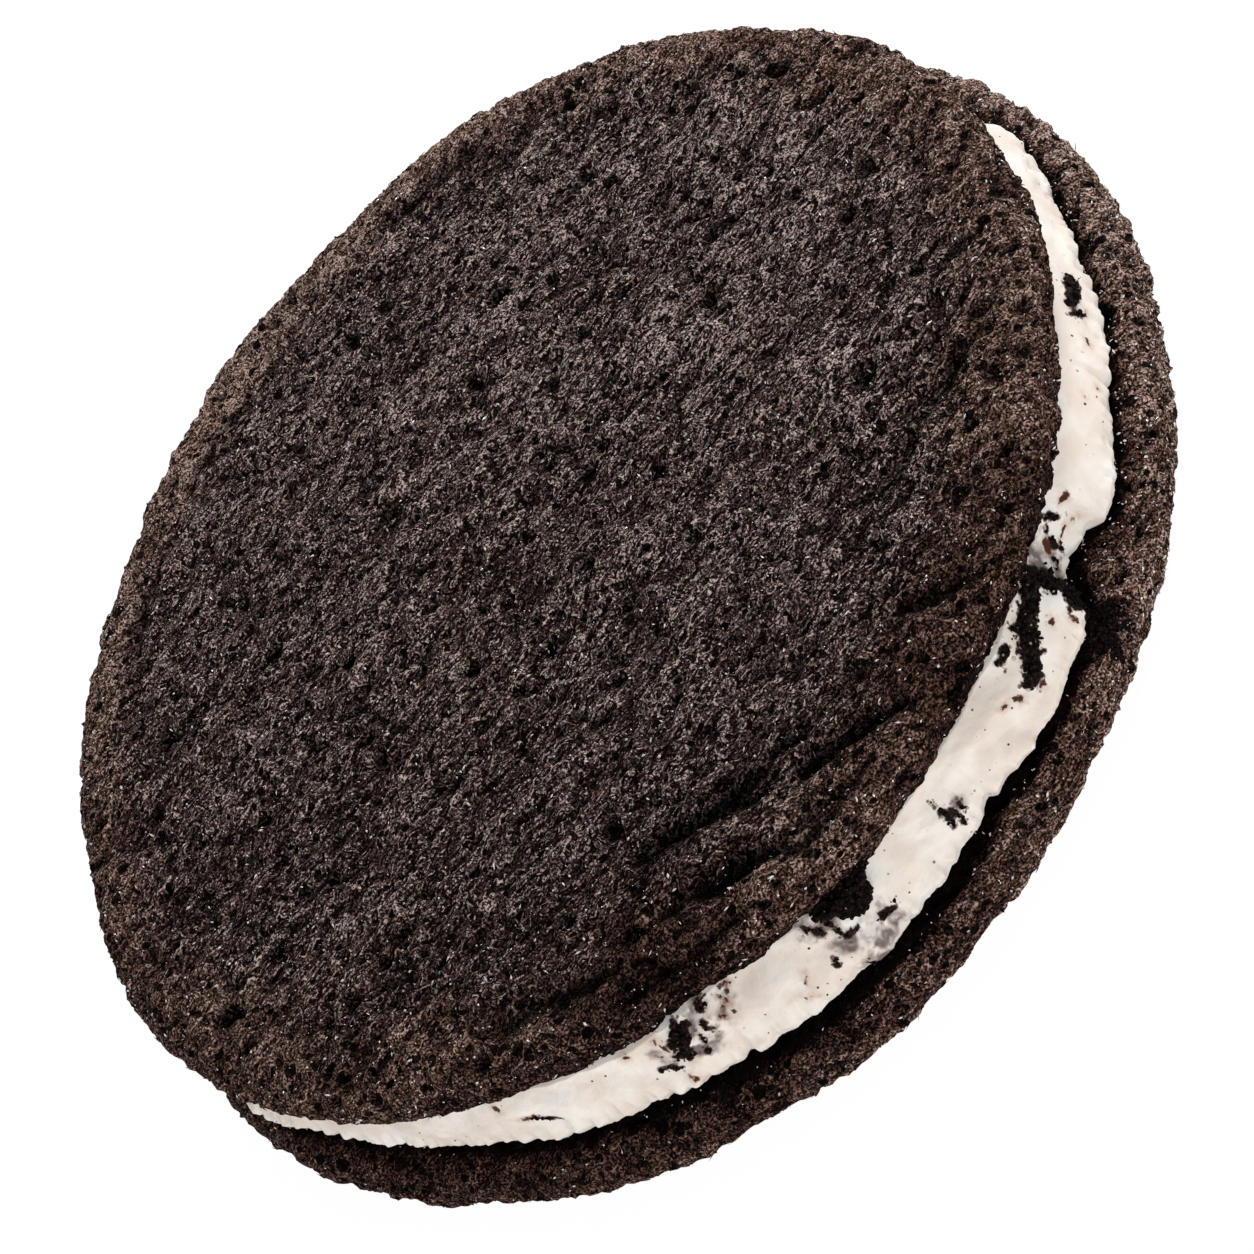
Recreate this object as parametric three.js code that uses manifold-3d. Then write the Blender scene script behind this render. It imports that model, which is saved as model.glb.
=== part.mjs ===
// Chocolate sandwich cookie: two soft, round, dark wafers with a vanilla cream filling between them.
// Millimetres, +Z up. The cookie lies flat on its lower wafer. The origin is on the ground under its middle.
// Each wafer's flat baked base faces the cream, and its rounded, cracked face is turned outwards.

import * as THREE from "three";
import { mergeVertices } from "three/addons/utils/BufferGeometryUtils.js";
import Module from "manifold-3d";

const wasm = await Module();
wasm.setup();

// ---- Driving dimensions ----

const UPPER_RADIUS = 38;
const LOWER_RADIUS = 40.4;
const LOWER_SLIP = [0.35, 0.55]; // how far the lower wafer's middle lies from the upper one's, along X and Y
const WAFER_THICKNESS = 4.5;
const RIM_ROUNDING = 2.4; // how far in from the edge the faces begin to round over
const UPPER_DOME = 0.4; // rise of the upper face from its rim to its middle
const UNDERSIDE_RISE = 0.3; // how far the lower wafer's outer face lifts off the ground at its rim
const REST_RADIUS = 20; // the flat spot that the cookie rests on

const FILLING_HEIGHT = 5.2;
const LIP_RADIUS = 37.75; // the widest line of the cream, just above the lower wafer
const LIP_HEIGHT = 1.1;
const CREAM_TOP_DRAW = 1.2; // how far the cream draws in from its lip up to the upper wafer
const CREAM_FOOT_DRAW = 1.9; // how far it is undercut where it meets the lower wafer

const RIM_CRUMBLE = 0.14; // random unevenness of a wafer's crumbly edge
const FACE_CRUMBLE = 0.1; // random rise and fall of a baked face
const CALM_RADIUS = 12; // it fades inside this radius, where the steps round are narrow

// How finely the solids are stepped.
const RIM_STEPS = 6;
const STEPS_ROUND = 96;
const CREAM_STEPS_ROUND = 120;
const UPPER_RINGS = [33.9, 32.1, 30.3, 28.4, 26.4, 24.3, 22.1, 19.8, 17.4, 14.8, 12, 8.8, 5, 0];
const LOWER_RINGS = [0, REST_RADIUS, 23.5, 27, 30, 33, 35.6];

// Heights of the flat planes where the layers meet.
const LOWER_FACE = WAFER_THICKNESS;
const UPPER_BASE = LOWER_FACE + FILLING_HEIGHT;
const UPPER_FACE = UPPER_BASE + WAFER_THICKNESS; // the upper face at its rim

// ---- Unevenness ----

// Lobes of an outline: [angle in degrees from +X, half width in degrees, how far it stands out].
const UPPER_LOBES = [
  [2, 9, 0.2],
  [21, 9, -0.3],
  [57, 18, 0.15],
  [75, 7, -0.25],
  [123, 14, -0.3],
  [141, 7, 0.2],
  [153, 7, -0.3],
  [182, 17, 0.6],
  [222, 9, -0.25],
  [245, 13, -0.55],
  [267, 11, 0.4],
  [305, 8, 0.15],
  [318, 7, -0.15],
];
const LOWER_LOBES = [
  [10, 12, 0.65],
  [62, 12, -0.3],
  [90, 12, 0.25],
  [120, 12, 0.35],
  [152, 12, -0.25],
  [184, 9, 0.25],
  [213, 14, -0.5],
  [259, 13, 0.6],
  [320, 16, -0.55],
];
const CREAM_LOBES = [
  [20, 12, -0.5],
  [50, 10, 0.5],
  [80, 14, -0.4],
  [112, 10, 0.6],
  [145, 14, -0.3],
  [186, 6, 1.1],
  [212, 16, -1.0],
  [258, 12, 0.6],
  [286, 7, 0.95],
  [300, 5, -1.1],
  [331, 9, -0.3],
  [350, 8, 0.9],
];

// Places where the cream draws back under the upper wafer: [angle, half width in degrees, depth].
const CREAM_HOLLOWS = [
  [251, 5, 1.0],
  [296, 5, 0.9],
  [70, 8, 0.7],
  [158, 6, 0.9],
];

// Slow waves of a baked face: [length, direction in degrees, height, phase].
// Towards the rim the waves and the dome fade to a share of their height.
const FACE_WAVES = [
  [17, 24, 0.07, 2.2],
  [11, 78, 0.09, 0.4],
  [7.3, 97, 0.06, 1.9],
];
const WAVES_LEFT_AT_RIM = 0.35;
const UNDERSIDE_WAVES = 0.5;

// Furrows and cracks in the upper face: [points on the face, width, depth at the middle].
const UPPER_FURROWS = [
  [[[-11, -26.8], [-5, -29.4], [2, -31.4]], 2.0, 0.95],
  [[[-2, -32.4], [2, -34], [5.5, -36.2]], 1.5, 0.8],
  [[[-13, -31], [-7, -33.4], [-4.5, -36], [1, -36.6]], 1.6, 0.8],
  [[[9, -31.4], [14, -34.6]], 1.6, 0.8],
  [[[-24, -25.4], [-20, -28.5], [-16, -30.6]], 1.6, 0.8],
  [[[-21, -32.2], [-15, -34], [-10.5, -36.6]], 1.4, 0.7],
  [[[13, -24.8], [20, -23.5], [29, -21.8]], 1.4, 0.6],
  [[[9, 32.4], [15, 30], [21, 27.2]], 1.6, 0.6],
  [[[-23, 25.6], [-18, 27.6], [-14, 28.8]], 1.5, 0.6],
];
const LOWER_FURROWS = [
  [[[22, 16], [27, 10], [30, 2]], 1.8, 0.8],
  [[[-8, 29], [-15, 27], [-21, 22.5]], 1.7, 0.8],
  [[[-30, -8], [-26, -16], [-20, -21]], 1.7, 0.7],
  [[[6, -27], [14, -26.5], [21, -23]], 1.6, 0.7],
];

// Low ridges raised beside the furrows: [points on the face, width, height at the middle].
const UPPER_RIDGES = [
  [[[-20, 8.9], [-13, 8.4], [-6, 7]], 2.6, 0.4],
  [[[12, 2.4], [15.4, -3], [18.4, -8.4]], 2.4, 0.35],
  [[[3, -28.2], [9, -29.3]], 2.0, 0.4],
  [[[-15, -29], [-9, -31], [-3, -34]], 1.8, 0.4],
  [[[11, 19], [16, 17.6]], 2.4, 0.35],
];

// Pits in the upper face: [x, y, width].
const UPPER_PITS = [
  [3.7, 25.9, 1.5], [6.6, 25.4, 1.3], [24.4, 22.4, 1.7], [25.5, 18.1, 1.4], [30.1, 13.1, 1.6],
  [33.5, 6.6, 1.5], [11.6, 15.6, 2.2], [14.4, 12.1, 1.5], [6, 12.6, 1.4], [21.2, 16.1, 1.4],
  [-15.2, 12, 1.6], [-24.1, 15.6, 1.7], [-28.1, 12.4, 1.5], [-3.8, 11.1, 1.4], [-16.1, -3.4, 1.6],
  [-8.4, -5.1, 1.4], [-4.6, -9.4, 1.6], [1.2, -8, 1.5], [8, -7.8, 1.7], [18.6, -2.1, 1.5],
  [21.9, 2, 1.5], [30.1, -5.9, 1.7], [19.4, -17.3, 1.6], [26.4, -15.5, 1.5], [-33.6, -5.7, 1.6],
  [-10.6, -23.4, 1.7], [-28, -14.6, 1.5], [11.9, -27.1, 1.5],
];

// The lower wafer's pits lie on a spiral, each a golden turn on from the last.
const LOWER_PIT_COUNT = 16;
const LOWER_PIT_WIDTHS = [1.3, 1.9];
const LOWER_PIT_REACH = [6, 34];
const GOLDEN_TURN = 137.5;

// Crumbs of wafer stuck in the cream: [angle, height above the lower wafer, size around, size up].
const CRUMBS = [
  [326.6, 3.0, 1.2, 2.1],
  [323.4, 3.4, 1.0, 0.8],
  [300.5, 4.2, 1.6, 0.9],
  [298.6, 3.0, 1.3, 1.2],
  [297.6, 1.5, 2.6, 2.2],
  [294.6, 1.7, 2.8, 2.4],
  [291.2, 3.7, 2.0, 2.2],
  [288.6, 3.3, 1.7, 2.4],
  [286.4, 1.9, 1.6, 2.0],
  [283.4, 3.6, 0.9, 0.8],
  [273.2, 2.5, 2.2, 1.3],
  [262.2, 3.6, 2.8, 2.4],
  [259.4, 1.2, 1.6, 1.2],
  [257.4, 2.6, 1.3, 1.0],
  [242.4, 3.6, 1.5, 2.4],
  [239.9, 1.3, 0.9, 0.9],
  [225.2, 2.5, 2.2, 0.8],
  [12, 2.2, 1.4, 1.0],
  [37, 3.4, 1.7, 1.5],
  [58, 1.6, 1.1, 1.1],
  [93, 3.0, 2.0, 1.6],
  [101, 1.8, 1.2, 1.0],
  [128, 2.6, 1.4, 1.8],
  [163, 3.2, 1.6, 1.3],
];
const CRUMB_PROUD = 0.25; // how far a crumb's middle stands out of the cream
const CRUMB_DEPTH = 1.6; // the most that a crumb measures in and out
const CRUMB_CLEARANCE = 0.3; // least gap between a crumb and either wafer
const LUMP_UNEVENNESS = 0.15; // how far a lump's corners are pushed in or out, as a share of its size

// ---- Helpers ----

const radians = THREE.MathUtils.degToRad;

// A bell-shaped bump round the circle: 1 at its middle angle, fading over its half width.
function bell(angle, [middle, halfWidth]) {
  const away = THREE.MathUtils.euclideanModulo(angle - radians(middle) + Math.PI, 2 * Math.PI) - Math.PI;
  return Math.exp(-((away / radians(halfWidth)) ** 2));
}

function lobed(angle, lobes) {
  return lobes.reduce((sum, lobe) => sum + lobe[2] * bell(angle, lobe), 0);
}

// The rise and fall of a baked face at a point, from its slow waves.
function wavesAt(x, y) {
  return FACE_WAVES.reduce((sum, [length, direction, height, phase]) => {
    const along = x * Math.cos(radians(direction)) + y * Math.sin(radians(direction));
    return sum + height * Math.sin((2 * Math.PI * along) / length + phase);
  }, 0);
}

// A geometry with its shared vertices merged and only positions left.
function merged(geometry) {
  geometry.deleteAttribute("normal");
  geometry.deleteAttribute("uv");
  return mergeVertices(geometry, 1e-3);
}

// Moves each vertex of a geometry to the place that a function of its position gives.
function reshape(geometry, placeOf) {
  const position = geometry.getAttribute("position");
  const point = new THREE.Vector3();
  for (let i = 0; i < position.count; i++) {
    point.fromBufferAttribute(position, i);
    placeOf(point);
    position.setXYZ(i, point.x, point.y, point.z);
  }
  return geometry;
}

function solidOf(geometry) {
  const mesh = new wasm.Mesh({
    numProp: 3,
    vertProperties: geometry.getAttribute("position").array,
    triVerts: new Uint32Array(geometry.index.array),
  });
  return new wasm.Manifold(mesh);
}

function geometryOf(solid) {
  const mesh = solid.getMesh();
  return new THREE.BufferGeometry()
    .setAttribute("position", new THREE.BufferAttribute(mesh.vertProperties, 3))
    .setIndex(new THREE.BufferAttribute(mesh.triVerts, 1));
}

// A profile of [radius, height] points turned about the vertical axis.
function turned(profile, steps) {
  const points = profile.map(([radius, height]) => new THREE.Vector2(radius, height));
  return merged(new THREE.LatheGeometry(points, steps).rotateX(Math.PI / 2));
}

// A slender spindle laid along a curve on a face, pointed at both ends. It cuts a furrow or adds a ridge.
function spindle(points, width, depth, heightAt) {
  const path = new THREE.CatmullRomCurve3(points.map(([x, y]) => new THREE.Vector3(x, y, heightAt(x, y))));
  const up = new THREE.Vector3(0, 0, 1);
  return reshape(merged(new THREE.SphereGeometry(1, 6, 6)), (point) => {
    const share = Math.acos(THREE.MathUtils.clamp(-point.y, -1, 1)) / Math.PI;
    const side = new THREE.Vector3().crossVectors(path.getTangentAt(share), up).normalize();
    const across = (point.x * width) / 2;
    const rise = point.z * depth;
    point.copy(path.getPointAt(share)).addScaledVector(side, across).addScaledVector(up, rise);
  });
}

// A rough lump with twenty faces, its corners pushed in or out at random.
function lump(size, centre, turn, random) {
  const geometry = merged(new THREE.IcosahedronGeometry(0.5, 0));
  return reshape(geometry, (point) => {
    point
      .multiplyScalar(1 + LUMP_UNEVENNESS * (2 * random() - 1))
      .multiply(size)
      .applyAxisAngle(new THREE.Vector3(0, 0, 1), turn)
      .add(centre);
  });
}

// A run of random numbers from 0 to 1 that is the same each time.
function randomFrom(seed) {
  let count = 0;
  return () => {
    count += 1;
    return THREE.MathUtils.seededRandom(seed * 7919 + count);
  };
}

// ---- Wafers ----

// The rounded edge of a wafer as [radius, height] points, from its lower plane out and over to its upper one.
function rimProfile(radius, baseHeight, faceHeight, steps) {
  const middle = (baseHeight + faceHeight) / 2;
  const half = (faceHeight - baseHeight) / 2;
  return Array.from({ length: steps + 1 }, (_, i) => {
    const angle = -Math.PI / 2 + (Math.PI * i) / steps;
    return [radius - RIM_ROUNDING + RIM_ROUNDING * Math.cos(angle), middle + half * Math.sin(angle)];
  });
}

// A pit's solid: a lump sunk in a face, a little longer than it is wide.
function pit(x, y, width, heightAt, random) {
  const size = new THREE.Vector3(width * (1 + 0.4 * random()), width, width);
  return solidOf(lump(size, new THREE.Vector3(x, y, heightAt(x, y)), Math.PI * random(), random));
}

// Stretches a round wafer to its lobed outline and crumbles its edge.
function shapeOutline(point, radius, lobes, random) {
  const angle = Math.atan2(point.y, point.x);
  const reach = Math.hypot(point.x, point.y);
  const nearRim = THREE.MathUtils.smoothstep(reach, radius - RIM_ROUNDING, radius);
  const crumble = (2 * random() - 1) * RIM_CRUMBLE * nearRim;
  const grown = 1 + lobed(angle, lobes) * (reach / radius) ** 2 / radius + crumble / radius;
  point.x *= grown;
  point.y *= grown;
}

function upperFaceHeight(x, y) {
  const share = Math.hypot(x, y) / (UPPER_RADIUS - RIM_ROUNDING);
  return UPPER_FACE + UPPER_DOME * (1 - share ** 2) + wavesAt(x, y);
}

function upperWafer() {
  const random = randomFrom(11);
  const rimStart = UPPER_RADIUS - RIM_ROUNDING;
  const profile = [
    [0, UPPER_BASE],
    ...rimProfile(UPPER_RADIUS, UPPER_BASE, UPPER_FACE, RIM_STEPS),
    ...UPPER_RINGS.map((radius) => [radius, UPPER_FACE]),
  ];
  const body = reshape(turned(profile, STEPS_ROUND), (point) => {
    const reach = Math.hypot(point.x, point.y);
    const onFace = point.z > UPPER_FACE - 0.01;
    const inside = 1 - THREE.MathUtils.smoothstep(reach, rimStart - 2, rimStart);
    shapeOutline(point, UPPER_RADIUS, UPPER_LOBES, random);
    if (onFace) {
      const rise = upperFaceHeight(point.x, point.y) - UPPER_FACE;
      const crumble = (2 * random() - 1) * FACE_CRUMBLE * THREE.MathUtils.smoothstep(reach, 0, CALM_RADIUS);
      point.z = UPPER_FACE + rise * Math.max(inside, WAVES_LEFT_AT_RIM) + crumble;
    }
  });
  let solid = solidOf(body);
  for (const [points, width, height] of UPPER_RIDGES) {
    solid = solid.add(solidOf(spindle(points, width, height, upperFaceHeight)));
  }
  for (const [points, width, depth] of UPPER_FURROWS) {
    solid = solid.subtract(solidOf(spindle(points, width, depth, upperFaceHeight)));
  }
  for (const [x, y, width] of UPPER_PITS) {
    solid = solid.subtract(pit(x, y, width, upperFaceHeight, random));
  }
  return solid;
}

// The lower wafer's outer face, which is turned down: flat where the cookie rests, lifting towards the rim.
function undersideHeight(x, y) {
  const reach = Math.hypot(x, y);
  const rimStart = LOWER_RADIUS - RIM_ROUNDING;
  const share = THREE.MathUtils.clamp((reach - REST_RADIUS) / (rimStart - REST_RADIUS), 0, 1);
  return share * (UNDERSIDE_RISE + UNDERSIDE_WAVES * (1 - share) * Math.abs(wavesAt(x, y)));
}

function lowerWafer() {
  const random = randomFrom(23);
  const profile = [
    ...LOWER_RINGS.map((radius) => [radius, 0]),
    ...rimProfile(LOWER_RADIUS, UNDERSIDE_RISE, LOWER_FACE, RIM_STEPS),
    [0, LOWER_FACE],
  ];
  const body = reshape(turned(profile, STEPS_ROUND), (point) => {
    const onUnderside = point.z < 0.01;
    const reach = Math.hypot(point.x, point.y);
    shapeOutline(point, LOWER_RADIUS, LOWER_LOBES, random);
    if (onUnderside) {
      point.z = undersideHeight(point.x, point.y);
      point.z += reach > REST_RADIUS + 1 ? random() * FACE_CRUMBLE : 0;
    }
  });
  let solid = solidOf(body);
  for (const [points, width, depth] of LOWER_FURROWS) {
    solid = solid.subtract(solidOf(spindle(points, width, depth, undersideHeight)));
  }
  for (let i = 0; i < LOWER_PIT_COUNT; i++) {
    const angle = radians(GOLDEN_TURN * i);
    const reach = THREE.MathUtils.lerp(...LOWER_PIT_REACH, Math.sqrt((i + 0.5) / LOWER_PIT_COUNT));
    const width = THREE.MathUtils.lerp(...LOWER_PIT_WIDTHS, random());
    const solidPit = pit(reach * Math.cos(angle), reach * Math.sin(angle), width, undersideHeight, random);
    solid = solid.subtract(solidPit);
  }
  return solid.translate([LOWER_SLIP[0], LOWER_SLIP[1], 0]);
}

// ---- Cream filling ----

// The cream's edge as [how far it draws in from the lip, height above the lower wafer].
const CREAM_PROFILE = [
  [CREAM_FOOT_DRAW, 0],
  [CREAM_FOOT_DRAW * 0.5, LIP_HEIGHT * 0.12],
  [CREAM_FOOT_DRAW * 0.16, LIP_HEIGHT * 0.4],
  [0, LIP_HEIGHT],
  [CREAM_TOP_DRAW * 0.12, 2],
  [CREAM_TOP_DRAW * 0.35, 3],
  [CREAM_TOP_DRAW * 0.6, 4],
  [CREAM_TOP_DRAW * 0.85, 4.7],
  [CREAM_TOP_DRAW, FILLING_HEIGHT],
];

// How far the spread cream stands out of its plain profile: lobes and scallops at the lip, folds up the side.
function creamUnevenness(angle, height) {
  const up = height / FILLING_HEIGHT;
  const scallops = 0.16 * Math.sin(29 * angle + 1.3) + 0.1 * Math.sin(43 * angle + 0.4);
  const folds = 0.1 * Math.sin(19 * angle + 2.2 * height);
  const lip = (1 - 0.75 * up) * (lobed(angle, CREAM_LOBES) + scallops);
  return lip + folds - up ** 2 * lobed(angle, CREAM_HOLLOWS);
}

function creamRadius(angle, height) {
  const next = CREAM_PROFILE.findIndex(([, top]) => top >= height);
  const [drawAbove, above] = CREAM_PROFILE[next];
  const [drawBelow, below] = CREAM_PROFILE[Math.max(next - 1, 0)];
  const share = above > below ? (height - below) / (above - below) : 0;
  return LIP_RADIUS - THREE.MathUtils.lerp(drawBelow, drawAbove, share) + creamUnevenness(angle, height);
}

function creamFilling() {
  const random = randomFrom(37);
  const profile = [
    [0, LOWER_FACE],
    ...CREAM_PROFILE.map(([draw, height]) => [LIP_RADIUS - draw, LOWER_FACE + height]),
    [0, UPPER_BASE],
  ];
  const body = reshape(turned(profile, CREAM_STEPS_ROUND), (point) => {
    const reach = Math.hypot(point.x, point.y);
    if (reach > 1) {
      const grown = 1 + creamUnevenness(Math.atan2(point.y, point.x), point.z - LOWER_FACE) / reach;
      point.x *= grown;
      point.y *= grown;
    }
  });
  let solid = solidOf(body);
  for (const [degrees, height, around, tall] of CRUMBS) {
    const angle = radians(degrees);
    const room = Math.min(height, FILLING_HEIGHT - height) - CRUMB_CLEARANCE;
    const up = Math.min(tall, (2 * room) / (1 + LUMP_UNEVENNESS));
    const reach = creamRadius(angle, height) + CRUMB_PROUD;
    const size = new THREE.Vector3(Math.min(around, CRUMB_DEPTH), around, up);
    const centre = new THREE.Vector3(reach * Math.cos(angle), reach * Math.sin(angle), LOWER_FACE + height);
    solid = solid.add(solidOf(lump(size, centre, angle, random)));
  }
  return solid;
}

// ---- The cookie ----

function piece(name, solid, colour, roughness) {
  const material = new THREE.MeshStandardMaterial({ color: colour, roughness, metalness: 0 });
  const mesh = new THREE.Mesh(geometryOf(solid), material);
  mesh.name = name;
  return mesh;
}

const cookie = new THREE.Group();
cookie.add(
  piece("lower_wafer", lowerWafer(), 0x3a2e2a, 0.95),
  piece("cream_filling", creamFilling(), 0xece2d8, 0.55),
  piece("upper_wafer", upperWafer(), 0x3c312d, 0.95),
);

// The middle of the outline goes over the origin.
const middle = new THREE.Box3().setFromObject(cookie).getCenter(new THREE.Vector3());
cookie.position.set(-middle.x, -middle.y, 0);

export default cookie;
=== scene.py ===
"""Chocolate sandwich cookie: the looks of its two baked wafers and of the cream between them, as an add-on.

The shapes are worked out in millimetres and put into meshes in metres.
"""

import math
from functools import lru_cache
from itertools import product
from typing import NamedTuple

import bpy
import numpy as np
from bpy.props import FloatProperty, FloatVectorProperty, IntProperty, PointerProperty
from mathutils import Matrix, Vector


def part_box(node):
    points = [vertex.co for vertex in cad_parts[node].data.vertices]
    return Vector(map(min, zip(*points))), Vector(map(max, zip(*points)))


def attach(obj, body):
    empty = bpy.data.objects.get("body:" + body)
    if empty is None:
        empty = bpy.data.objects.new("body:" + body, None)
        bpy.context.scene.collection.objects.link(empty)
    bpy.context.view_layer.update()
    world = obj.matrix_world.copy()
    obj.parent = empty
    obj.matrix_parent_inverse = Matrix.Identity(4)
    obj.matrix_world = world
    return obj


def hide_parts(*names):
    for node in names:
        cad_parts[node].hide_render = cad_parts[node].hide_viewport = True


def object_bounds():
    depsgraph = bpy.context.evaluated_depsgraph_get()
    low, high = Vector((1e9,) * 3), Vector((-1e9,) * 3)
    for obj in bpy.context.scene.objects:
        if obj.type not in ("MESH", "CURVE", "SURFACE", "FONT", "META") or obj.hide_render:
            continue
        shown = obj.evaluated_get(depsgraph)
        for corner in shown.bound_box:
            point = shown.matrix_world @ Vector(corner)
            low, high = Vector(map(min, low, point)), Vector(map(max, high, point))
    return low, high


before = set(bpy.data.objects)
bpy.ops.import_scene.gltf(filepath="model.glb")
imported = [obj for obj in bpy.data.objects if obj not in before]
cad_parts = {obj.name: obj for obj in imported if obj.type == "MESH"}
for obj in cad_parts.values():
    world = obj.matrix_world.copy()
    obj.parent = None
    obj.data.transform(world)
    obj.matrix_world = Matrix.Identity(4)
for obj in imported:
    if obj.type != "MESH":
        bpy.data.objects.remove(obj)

bl_info = {
    "name": "Chocolate Sandwich Cookie",
    "version": (1, 0, 0),
    "blender": (4, 5, 0),
    "location": "3D View > Sidebar > Cookie",
    "description": "Bakes two crumbly cocoa wafers and spreads the cream between them",
    "category": "Object",
}

CAD_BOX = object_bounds()
MM = 0.001
BOX_LOW = np.array(CAD_BOX[0]) / MM
BOX_HIGH = np.array(CAD_BOX[1]) / MM

# ---- Sizes of the layers, in millimetres ----

UPPER_RADIUS = 38.0
LOWER_RADIUS = 40.4
UPPER_MIDDLE = (-0.53, -0.52)
LOWER_SLIP = (0.35, 0.55)
LOWER_MIDDLE = (UPPER_MIDDLE[0] + LOWER_SLIP[0], UPPER_MIDDLE[1] + LOWER_SLIP[1])
RIM_ROUNDING = 2.4
UPPER_DOME = 0.4
UNDERSIDE_RISE = 0.3
REST_RADIUS = 20.0

LOWER_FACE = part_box("lower_wafer")[1].z / MM
UPPER_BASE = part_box("cream_filling")[1].z / MM
WAFER_THICKNESS = LOWER_FACE
FILLING_HEIGHT = UPPER_BASE - LOWER_FACE

LIP_RADIUS = 37.75
LIP_HEIGHT = 1.1
CREAM_TOP_DRAW = 1.2
CREAM_FOOT_DRAW = 1.9

# Lobes of an outline: angle in degrees from +X, half width in degrees, how far it stands out.
UPPER_LOBES = (
    (2, 9, 0.2), (21, 9, -0.3), (57, 18, 0.15), (75, 7, -0.25), (123, 14, -0.3), (141, 7, 0.2),
    (153, 7, -0.3), (182, 17, 0.6), (222, 9, -0.25), (245, 13, -0.55), (267, 11, 0.4),
    (305, 8, 0.15), (318, 7, -0.15),
)
LOWER_LOBES = (
    (10, 12, 0.65), (62, 12, -0.3), (90, 12, 0.25), (120, 12, 0.35), (152, 12, -0.25),
    (184, 9, 0.25), (213, 14, -0.5), (259, 13, 0.6), (320, 16, -0.55),
)
CREAM_LOBES = (
    (20, 12, -0.5), (50, 10, 0.5), (80, 14, -0.4), (112, 10, 0.6), (145, 14, -0.3), (186, 6, 1.1),
    (212, 16, -1.0), (236, 3, -0.3), (260, 12, 0.95), (280.5, 4, 0.4), (287, 6, 0.75), (292.5, 2, 0.8),
    (300, 5, -0.85), (297.5, 2, -0.3), (304, 4, 0.6), (321, 2.5, -0.35), (331, 9, -0.3), (337, 2.5, -0.3),
    (351, 8, 1.0),
)
# Where the cream draws back under the upper wafer: angle, half width in degrees, depth.
CREAM_HOLLOWS = ((251, 5, 1.0), (296, 5, 0.9), (70, 8, 0.7), (158, 6, 0.9))

# Slow waves of a baked face: length, direction in degrees, height, phase.
FACE_WAVES = ((17, 24, 0.07, 2.2), (11, 78, 0.09, 0.4), (7.3, 97, 0.06, 1.9))

# Furrows in the upper face: points along each, width, depth.
UPPER_FURROWS = (
    (((-11, -26.8), (-5, -29.4), (2, -31.4)), 2.0, 0.95),
    (((-2, -32.4), (2, -34), (5.5, -36.2)), 1.5, 0.8),
    (((-13, -31), (-7, -33.4), (-4.5, -36), (1, -36.6)), 1.6, 0.8),
    (((9, -31.4), (14, -34.6)), 1.6, 0.8),
    (((-24, -25.4), (-20, -28.5), (-16, -30.6)), 1.6, 0.8),
    (((-21, -32.2), (-15, -34), (-10.5, -36.6)), 1.4, 0.7),
    (((13, -24.8), (20, -23.5), (29, -21.8)), 1.4, 0.6),
    (((9, 32.4), (15, 30), (21, 27.2)), 1.6, 0.6),
    (((-23, 25.6), (-18, 27.6), (-14, 28.8)), 1.5, 0.6),
    (((-1, -33.3), (1.6, -34), (3.4, -34.6), (4.9, -36)), 0.9, 1.2),
    (((-11.4, -26.3), (-7.2, -28.5), (-4.7, -30.3), (-2.7, -31.7)), 1.1, 1.2),
    (((-4.1, -34.9), (-0.7, -35.6), (1.7, -36.3)), 1.0, 1.0),
    (((-9.5, -36.4), (-12, -35), (-15.3, -34.5), (-18, -33.5)), 1.0, 0.9),
    (((-2.7, 32.4), (-4.7, 32.1), (-7.8, 32.4), (-10, 31.7)), 1.1, 0.8),
)
LOWER_FURROWS = (
    (((22, 16), (27, 10), (30, 2)), 1.8, 0.8),
    (((-8, 29), (-15, 27), (-21, 22.5)), 1.7, 0.8),
    (((-30, -8), (-26, -16), (-20, -21)), 1.7, 0.7),
    (((6, -27), (14, -26.5), (21, -23)), 1.6, 0.7),
)
# Low ridges beside the furrows: points along each, width, height.
UPPER_RIDGES = (
    (((-20, 8.9), (-13, 8.4), (-6, 7)), 2.6, 0.25),
    (((12, 2.4), (15.4, -3), (18.4, -8.4)), 2.4, 0.25),
    (((3, -28.2), (9, -29.3)), 2.0, 0.3),
    (((-15, -29), (-9, -31), (-3, -34)), 1.8, 0.3),
    (((11, 19), (16, 17.6)), 2.4, 0.25),
    (((-5, -33.2), (-2, -34.3), (1, -35.1), (4, -36.8)), 1.3, 0.35),
    (((-9, -26.6), (-4, -28.9), (0, -32.2), (3.5, -33.4)), 1.4, 0.35),
)
# Pits in the upper face: x, y, width.
UPPER_PITS = (
    (3.7, 25.9, 1.5), (6.6, 25.4, 1.3), (24.4, 22.4, 1.7), (25.5, 18.1, 1.4), (30.1, 13.1, 1.6),
    (33.5, 6.6, 1.5), (11.6, 15.6, 2.2), (14.4, 12.1, 1.5), (6, 12.6, 1.4), (21.2, 16.1, 1.4),
    (-15.2, 12, 1.6), (-24.1, 15.6, 1.7), (-28.1, 12.4, 1.5), (-3.8, 11.1, 1.4), (-16.1, -3.4, 1.6),
    (-8.4, -5.1, 1.4), (-4.6, -9.4, 1.6), (1.2, -8, 1.5), (8, -7.8, 1.7), (18.6, -2.1, 1.5),
    (21.9, 2, 1.5), (30.1, -5.9, 1.7), (19.4, -17.3, 1.6), (26.4, -15.5, 1.5), (-33.6, -5.7, 1.6),
    (-10.6, -23.4, 1.7), (-28, -14.6, 1.5), (11.9, -27.1, 1.5),
)

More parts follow.
